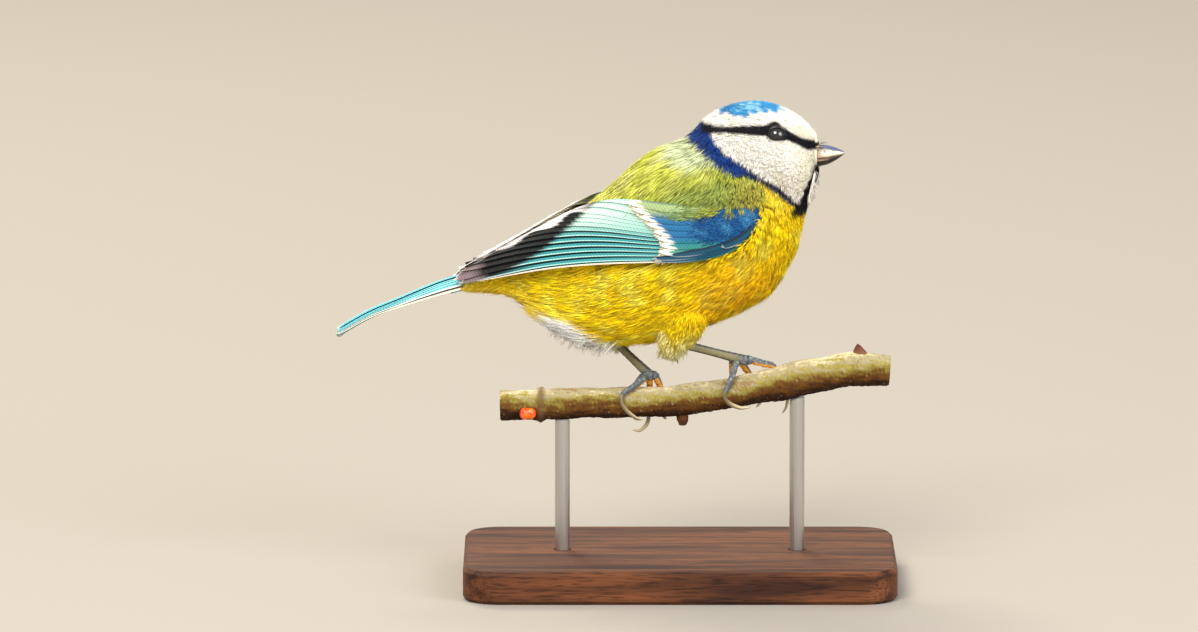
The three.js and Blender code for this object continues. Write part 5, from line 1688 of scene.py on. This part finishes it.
def bark_paint(points, angle):
    """Pale grey-tan on top, yellow-green below it, then brown and dark brown underneath: bark colours,
    with a painted highlight on top and painted shade underneath. The borders are ragged, pale specks
    are scattered over all of it, and the scar is dark."""
    low = (1 - np.cos(angle)) / 2
    wave = ripple(points * np.array([0.5, 1, 1]), 6.0, 51)
    fine = ripple(points * np.array([0.45, 1.3, 1.3]), 1.6, 52)
    dust = ripple(points * np.array([0.6, 1.2, 1.2]), 0.7, 58)
    ragged_low = low + 0.09 * wave + 0.08 * fine + 0.06 * dust
    # Painted highlight: the pale grey-tan that stays on top is partly light falling on the bark.
    colour = painted("#948B68", "#CBBE9C", smoothstep(wave + fine * 0.6, -0.2, 1.3))
    colour = painted(colour, "#7A5C38", smoothstep(dust + fine - wave, 0.9, 2.0) * 0.75)
    colour = painted(colour, "#7A6E2C", smoothstep(ragged_low, 0.1, 0.34))
    bright = smoothstep(ragged_low, 0.14, 0.3) * smoothstep(fine + dust, 0.3, 1.4)
    colour = painted(colour, "#9A9044", bright * 0.7)
    # Painted shade: the underside turns brown and then dark brown, partly bark colour and partly shade.
    colour = painted(colour, "#57360C", smoothstep(ragged_low, 0.3, 0.54))
    colour = painted(colour, "#2E180A", smoothstep(ragged_low, 0.58, 0.85))
    speck = smoothstep(ripple(points, 0.9, 53), 1.4, 1.9)
    colour = painted(colour, "#B5A582", speck * 0.45)
    scar = np.exp(-((points[:, 0] - SCAR_X) / 0.9) ** 2)
    return painted(colour, "#5A4028", scar * 0.75)


def twig():
    """Rings along X: bark, then at each end a rolled edge and a flat face with pale wood."""
    first, last = PERCH[0][0], PERCH[-1][0]
    rows = 380
    end = [0.05, 0.3, 0.6, 0.86, 0.95]
    x = np.concatenate([[first] * 5, np.linspace(first + 0.4, last - 0.4, rows), [last] * 5])
    scale = np.array(end + [1.0] * rows + end[::-1])
    angle = np.linspace(0, FULL_TURN, 72, False)
    x, angle = np.meshgrid(x, angle, indexing="ij")
    plain = on_perch(x, angle, 0 * x).reshape(-1, 3)
    lump = 0.14 * ripple(plain * np.array([0.5, 1, 1]), 5.0, 54)
    lump = lump + 0.05 * ripple(plain * np.array([2.2, 0.7, 0.7]), 2.0, 55)
    lump = lump + 0.025 * ripple(plain, 0.9, 56)
    beyond_scar = plain[:, 0] - SCAR_X
    scar = 0.55 * np.exp(-(beyond_scar / 0.7) ** 2) - 0.2 * np.exp(-((beyond_scar - 1.5) / 0.6) ** 2)
    height = np.clip(lump - 0.12, -0.5, 0.06) + scar
    height = height.reshape(x.shape) * (scale[:, None] > 0.9)
    rings = on_perch(x, angle, height, scale[:, None])
    points, faces = closed_tube(rings)
    colour = bark_paint(points[:-2], angle.ravel())
    cut = (scale[:, None] < 0.9) * np.ones_like(x)
    pith = (scale[:, None] < 0.25) * np.ones_like(x)
    wood = painted("#CBB083", "#A98A5C", smoothstep(ripple(plain, 1.2, 57), 0, 1.5))
    colour = np.where(cut.reshape(-1, 1) > 0, wood, colour)
    colour = painted(colour, "#7A5530", pith.ravel())
    return points, faces, np.vstack([colour, linear("#7A5530"), linear("#7A5530")])


def cone(centre, away, radii, columns, colour_low, colour_high, lump=None):
    """A tapered tube along a list of centres: a stub, or a bud with scales."""
    count = 40
    path = smooth_path(np.asarray(centre), count)
    share = np.linspace(0, 1, count)
    radius = np.interp(share, np.linspace(0, 1, len(radii)), radii)
    away = np.tile(np.asarray(away, float), (count, 1))
    points, faces = closed_tube(sweep(path, away, radius, radius, columns, lump))
    tint = painted(colour_low, colour_high, np.repeat(share, columns))
    return points, faces, np.vstack([tint, linear(colour_low), linear(colour_high)])


def ragged(share, angle):
    """Splintered wood of the stub: five lobes that grow towards its end."""
    return 0.12 * np.sin(5 * angle + 9 * share) * share


def bud_scales(share, angle):
    """Scales of the top bud, laid round it in a spiral."""
    return 0.14 * np.abs(np.sin(1.5 * angle + 5 * share)) * np.sin(math.pi * share)


stub_centre = perch_frame(np.array(STUB_X))[0]
bud_centre = perch_frame(np.array(TOP_BUD_X))[0]
stub_line = [stub_centre + np.array([0, 0, rise]) for rise in (-1.0, -3.2, -4.6, -5.5)]
bud_line = [bud_centre + np.array([0.6 - 0.2 * rise, 0, rise]) for rise in (2.6, 3.8, 4.7, 5.4)]
parts = [
    twig(),
    cone(stub_line, (1, 0, 0), (2.3, 1.35, 1.3, 1.2, 0.7), 24, "#5E3A1C", "#4A2A18", ragged),
    cone(bud_line, (1, 0, 0), (1.9, 1.35, 0.85, 0.12), 24, "#7A5A3A", "#4E1C1A", bud_scales),
]

# Grains well under a millimetre wide make the bark look dry and rough.
material, tree, place = start_material("smooth_twig_bark")
coarse = {"Vector": place, "Scale": 1400.0, "Detail": 6.0, "Roughness": 0.65}
grain = add(tree, "TexNoise", coarse).outputs["Fac"]
relief = {"Distance": 0.00018, "Strength": 0.8}
shader = {"Roughness": 0.78, "Specular IOR Level": 0.2}
finish_painted(tree, grain, {"To Min": 0.65, "To Max": 1.35}, relief, shader)
bark = material

points, faces, colours = joined_colours(parts)
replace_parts(make_piece("bark_twig", points, faces, bark, colours), "perch")

turn, polar = round_grid(0.03, math.pi - 0.03, 26, 36)
lobes = 1 - 0.2 * np.exp(-((turn - 1.5) / 0.25) ** 2)
wide = np.sin(turn) * lobes
ball = np.stack([np.cos(turn), wide * np.cos(polar), wide * np.sin(polar)], -1)
points, faces = closed_tube(SIDE_BUD + ball * SIDE_BUD_RADII)
tint = painted("#FF6A1E", "#DE3A0A", smoothstep(ripple(points, 1.3, 61), -0.3, 1.0))
tint = painted(tint, "#6A1A10", smoothstep(points[:, 0], -33.4, -34.2))
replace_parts(make_piece("scales_bud", points, faces, horn, tint), "perch_bud")

# %% [markdown]
# ## Feet
# A tit's leg is a thin bone in scaled skin. Broad scutes ring the front of the tarsus and the top
# of each toe, and soft pads swell under the joints. Each toe follows a few points over the twig:
# a shift along it, an angle round it, and a height over the bark. The grip lowers the middle
# of a toe until its pads press on the bark.
# %% Feet
# Heel and ankle of each leg.
LEGS = {
    "right": ((-1.7, -7.0, 53.0), (13.8, -0.8, 48.0)),
    "left": ((-17.0, 6.4, 53.9), (-6.4, 0.4, 44.6)),
}
ANKLE_RADII = np.array([2.0, 1.05, 1.1])
# For each toe the share of its path at which the claw begins, and then the points of the path.
TOES = {
    "right": [
        (0.5, [(-0.5, -10, 3.6), (-1.8, -34, 1.7), (-3.2, -60, 1.0), (-4.3, -86, 0.9), (-3.8, -112, 0.9),
               (-1.6, -142, 1.0), (0.6, -160, 0.8)]),
        (0.66, [(-1.5, 4, 3.0), (-1.9, 28, 1.4), (-2.2, 60, 0.95), (-2.4, 95, 0.9), (-2.6, 122, 0.9),
                (-2.2, 148, 1.1), (-1.4, 168, 1.0)]),
        (0.68, [(0, 6, 3.2), (0.9, 30, 1.5), (1.8, 62, 0.95), (2.5, 96, 0.9), (2.8, 124, 0.9),
                (2.6, 148, 1.2), (1.8, 168, 1.1)]),
        (0.66, [(1.6, 4, 3.0), (4.6, 10, 1.5), (6.6, 32, 0.95), (7.4, 68, 0.9), (7.9, 104, 1.0),
                (8.3, 132, 2.0), (7.7, 148, 3.1), (6.8, 156, 3.8)]),
    ],
    "left": [
        (0.44, [(-0.9, -14, 2.2), (-3.6, -32, 1.1), (-5.5, -52, 0.95), (-6.1, -74, 0.9), (-5.2, -104, 0.9),
                (-3.2, -134, 0.95), (-1.6, -158, 0.9)]),
        (0.68, [(-1.5, 8, 1.9), (-2.7, 34, 1.1), (-3.5, 66, 0.95), (-4.0, 100, 0.9), (-3.9, 128, 0.9),
                (-3.2, 152, 1.1), (-2.0, 172, 1.0)]),
        (0.6, [(0, 10, 2.0), (0.1, 36, 1.1), (0, 68, 0.95), (-0.1, 102, 0.9), (-0.2, 130, 1.2),
               (-0.6, 148, 2.6), (-2.0, 158, 3.7), (-3.6, 162, 3.4)]),
        (0.68, [(1.5, 8, 1.9), (2.2, 34, 1.1), (2.5, 66, 0.95), (2.4, 100, 0.9), (2.5, 128, 0.9),
                (2.8, 152, 1.1), (3.3, 170, 1.0)]),
    ],
}
TARSUS_RADIUS = (1.05, 0.75)
TOE_RADII = (0.84, 0.62)
CLAW_RADII = (0.62, 0.1)
GRIP = 0.3
SCUTES = 13
TARSUS_ROWS = 120
TOE_ROWS = 92
CLAW_ROWS = 40
CLAW_COLUMNS = 14


def scute_step(row):
    """How far a row lies within its scute: 0 at the upper edge of one and nearly 1 at its lower."""
    return (row * SCUTES) % 1.0


def toe_parts(side, share, knots):
    """Rings of one toe and of its claw, with the direction away from the twig at each ring."""
    shift, degrees, height = np.array(knots, float).T
    height = height - GRIP * smoothstep(height, 1.9, 1.2)
    ankle_x = LEGS[side][1][0]
    path = on_perch(ankle_x + shift, np.radians(degrees), height)

    def scutes(row, angle):
        top = np.clip(np.cos(angle) * 1.6, 0, 1)
        pad = np.clip(-np.cos(angle), 0, 1) * 0.14 * np.cos(3 * FULL_TURN * row) ** 2
        return top * 0.11 * (1 - scute_step(row)) + pad - 0.08

    toe = smooth_path(path, TOE_ROWS, 0.0, share)
    toe_away = toe - perch_frame(toe[:, 0])[0]
    toe_radius = np.interp(np.linspace(0, 1, TOE_ROWS), [0, 0.93, 1], [*TOE_RADII, 0.46])
    toe_rings = sweep(toe, toe_away, toe_radius, toe_radius * 0.95, 20, scutes)
    claw = smooth_path(path, CLAW_ROWS, share - 0.02, 1.0)
    claw_away = claw - perch_frame(claw[:, 0])[0]
    taper = np.linspace(0, 1, CLAW_ROWS) ** 2.6
    thin = CLAW_RADII[0] + (CLAW_RADII[1] - CLAW_RADII[0]) * taper
    claw_rings = sweep(claw, claw_away, thin, thin * 0.72, CLAW_COLUMNS)
    return toe_rings, claw_rings


def leg_paint(rings, part):
    """Blue-grey scales with dark seams. The shank is darker in front and behind and olive at its
    sides, and a toe is warm yellow-brown on the side of the twig."""
    rows, columns = rings.shape[:2]
    row, angle = round_grid(0, 1, rows, columns)
    seam = smoothstep(scute_step(row), 0.75, 1.0).ravel()
    front = np.cos(angle).ravel()
    blotch = ripple(rings.reshape(-1, 3), 1.1, 61)
    tint = painted("#555C61", "#8C9490", smoothstep(blotch, 0.2, 1.4))
    tint = painted(tint, "#22262A", seam)
    if part == "shank":
        olive = smoothstep(np.abs(np.sin(angle)), 0.6, 0.9) * smoothstep(row, 1.0, 0.8)
        tint = painted(tint, "#3E3A34", smoothstep(front, 0.3, 0.7) * 0.6)
        tint = painted(tint, "#817C58", olive.ravel())
        tint = painted(tint, "#3A3026", smoothstep(-front, 0.6, 0.9))
    if part == "toe":
        tint = painted(tint, "#E09A34", smoothstep(-front, 0.2, 0.6))
    return np.vstack([tint, tint[0], tint[-1]])


def foot(side):
    """The tarsus with its scutes, the knuckle where the toes meet, and the four toes."""
    heel, ankle = (np.array(v) for v in LEGS[side])
    path = heel + (ankle - heel) * np.linspace(-0.04, 1, TARSUS_ROWS)[:, None]
    share = np.linspace(0, 1, TARSUS_ROWS)
    waist = 1.1 - 0.22 * np.sin(math.pi * share)
    away = np.tile(np.array([0.3, 0.0, 1.0]), (TARSUS_ROWS, 1))

    def scutes(row, angle):
        return np.clip(np.cos(angle) * 1.8, 0, 1) * 0.09 * (1 - scute_step(row)) - 0.05

    shank = sweep(path, away, TARSUS_RADIUS[0] * waist, TARSUS_RADIUS[1] * waist, 24, scutes)
    turn, polar = round_grid(0.04, math.pi - 0.04, 22, 28)
    ball = np.stack([np.cos(turn), np.sin(turn) * np.sin(polar), np.sin(turn) * np.cos(polar)], -1)
    knuckle = ankle + ball * ANKLE_RADII * (1 + 0.04 * np.sin(9 * turn))[..., None]
    rings = [(shank, "shank"), (knuckle, "knuckle")]
    claws = []
    for claw_share, knots in TOES[side]:
        toe_rings, claw_rings = toe_parts(side, claw_share, knots)
        rings.append((toe_rings, "toe"))
        claws.append(claw_rings)
    return rings, claws


# Small many-sided cells between the scutes give the skin its netted look.
material, tree, place = start_material("scaled_leg_skin")
cells = add(tree, "TexVoronoi", {"Vector": place, "Scale": 2600.0}, feature="DISTANCE_TO_EDGE")
span = {"From Max": 0.25, "To Min": 0.7, "To Max": 1.1}
shader = {"Roughness": 0.5, "Specular IOR Level": 0.4}
finish_painted(tree, cells.outputs["Distance"], span, {"Distance": 0.00008}, shader)
leg_skin = material

for side in SIDES:
    rings, claws = foot(side)
    points, faces = joined([closed_tube(ring) for ring, _ in rings])
    tint = np.vstack([leg_paint(ring, part) for ring, part in rings])
    piece = make_piece(f"scales_foot_{side}", points, faces, leg_skin, tint)
    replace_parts(piece, f"tarsus_{side}", *(f"toe_{side}_{k}" for k in (1, 2, 3, 4)))
    points, faces = joined([closed_tube(ring) for ring in claws])
    share, angle = (measure.ravel() for measure in round_grid(0, 1, CLAW_ROWS, CLAW_COLUMNS))
    # The claw's horn pales towards its tip, partly as a painted highlight, and its side away from the twig
    # is painted darker, which leaves a painted highlight along the side that faces the twig.
    tint = painted("#7C745C", "#C2B48C", smoothstep(share, 0.1, 0.6))
    tint = painted(tint, "#5C4A2E", smoothstep(np.cos(angle), 0.2, 0.8) * 0.75)
    tint = np.vstack([tint, tint[0], tint[-1]])
    piece = make_piece(f"horn_claws_{side}", points, faces, horn, np.tile(tint, (4, 1)))
    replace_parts(piece, *(f"claw_{side}_{k}" for k in (1, 2, 3, 4)))

# %% [markdown]
# ## Display stand
# The stand isn't in the photo, so it is plain: a dark, dull-oiled hardwood base and two satin steel
# rods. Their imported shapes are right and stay. Only their materials change. The grain runs along
# the base, with pores a few tenths of a millimetre wide.
# %% Stand materials
# Long brown bands with fine dark pores, and a dull oil finish that keeps the base quiet.
material, tree, place = start_material("oiled_hardwood")
stretched = add(tree, "Mapping", {"Vector": place, "Scale": (0.08, 1.0, 1.0)})
grain = stretched.outputs["Vector"]
bands = {"Vector": grain, "Scale": 260.0, "Detail": 4.0, "Distortion": 0.6}
rings = add(tree, "TexNoise", bands)
pores = add(tree, "TexNoise", {"Vector": grain, "Scale": 2400.0, "Detail": 2.0})
ramp = add(tree, "ValToRGB", {"Fac": rings.outputs["Fac"]})
ramp.color_ramp.elements[0].position = 0.35
ramp.color_ramp.elements[0].color = rgba("#33190E")
ramp.color_ramp.elements[1].position = 0.65
ramp.color_ramp.elements[1].color = rgba("#6B3E22")
span = {"Value": pores.outputs["Fac"], "From Min": 0.35, "From Max": 0.5, "To Min": 0.45}
level = add(tree, "MapRange", span)
colours = {6: ramp.outputs["Color"], 7: level.outputs["Result"]}
mixed = add(tree, "Mix", {0: 1.0, **colours}, **MULTIPLY)
relief = add(tree, "Bump", {"Height": pores.outputs["Fac"], "Distance": 0.00005})
shader = {"Base Color": mixed.outputs[2], "Roughness": 0.62, "Specular IOR Level": 0.2}
finish_material(tree, {**shader, "Normal": relief.outputs["Normal"]})
hardwood = material

# Fine scratches along the rod spread its reflections, as drawn satin steel does.
material, tree, place = start_material("satin_steel")
brushed = add(tree, "Mapping", {"Vector": place, "Scale": (1.0, 1.0, 0.03)})
drawn = {"Vector": brushed.outputs["Vector"], "Scale": 5000.0, "Detail": 2.0}
scratch = add(tree, "TexNoise", drawn)
level = add(tree, "MapRange", {"Value": scratch.outputs["Fac"], "To Min": 0.22, "To Max": 0.42})
relief = add(tree, "Bump", {"Height": scratch.outputs["Fac"], "Distance": 0.00001})
shader = {"Base Color": rgba("#BDBBB6"), "Metallic": 1.0, "Roughness": level.outputs["Result"]}
finish_material(tree, {**shader, "Normal": relief.outputs["Normal"]})
steel = material

for name, material in (("stand_base", hardwood), ("stand_rod_1", steel), ("stand_rod_2", steel)):
    for material_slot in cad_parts[name].material_slots:
        material_slot.material = material
    print(name, "has", material.name)

# %% [markdown]
# ## Size, and the end
# The coat and the vanes should reach as far as the solids do, so both boxes are written down.
# %% Size and finish
model_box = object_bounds()
boxes = {"cad_box": [list(c) for c in cad_box], "model_box": [list(c) for c in model_box]}
for label, (low, high) in boxes.items():
    print(label, [round((b - a) / MM, 1) for a, b in zip(low, high)], "mm")
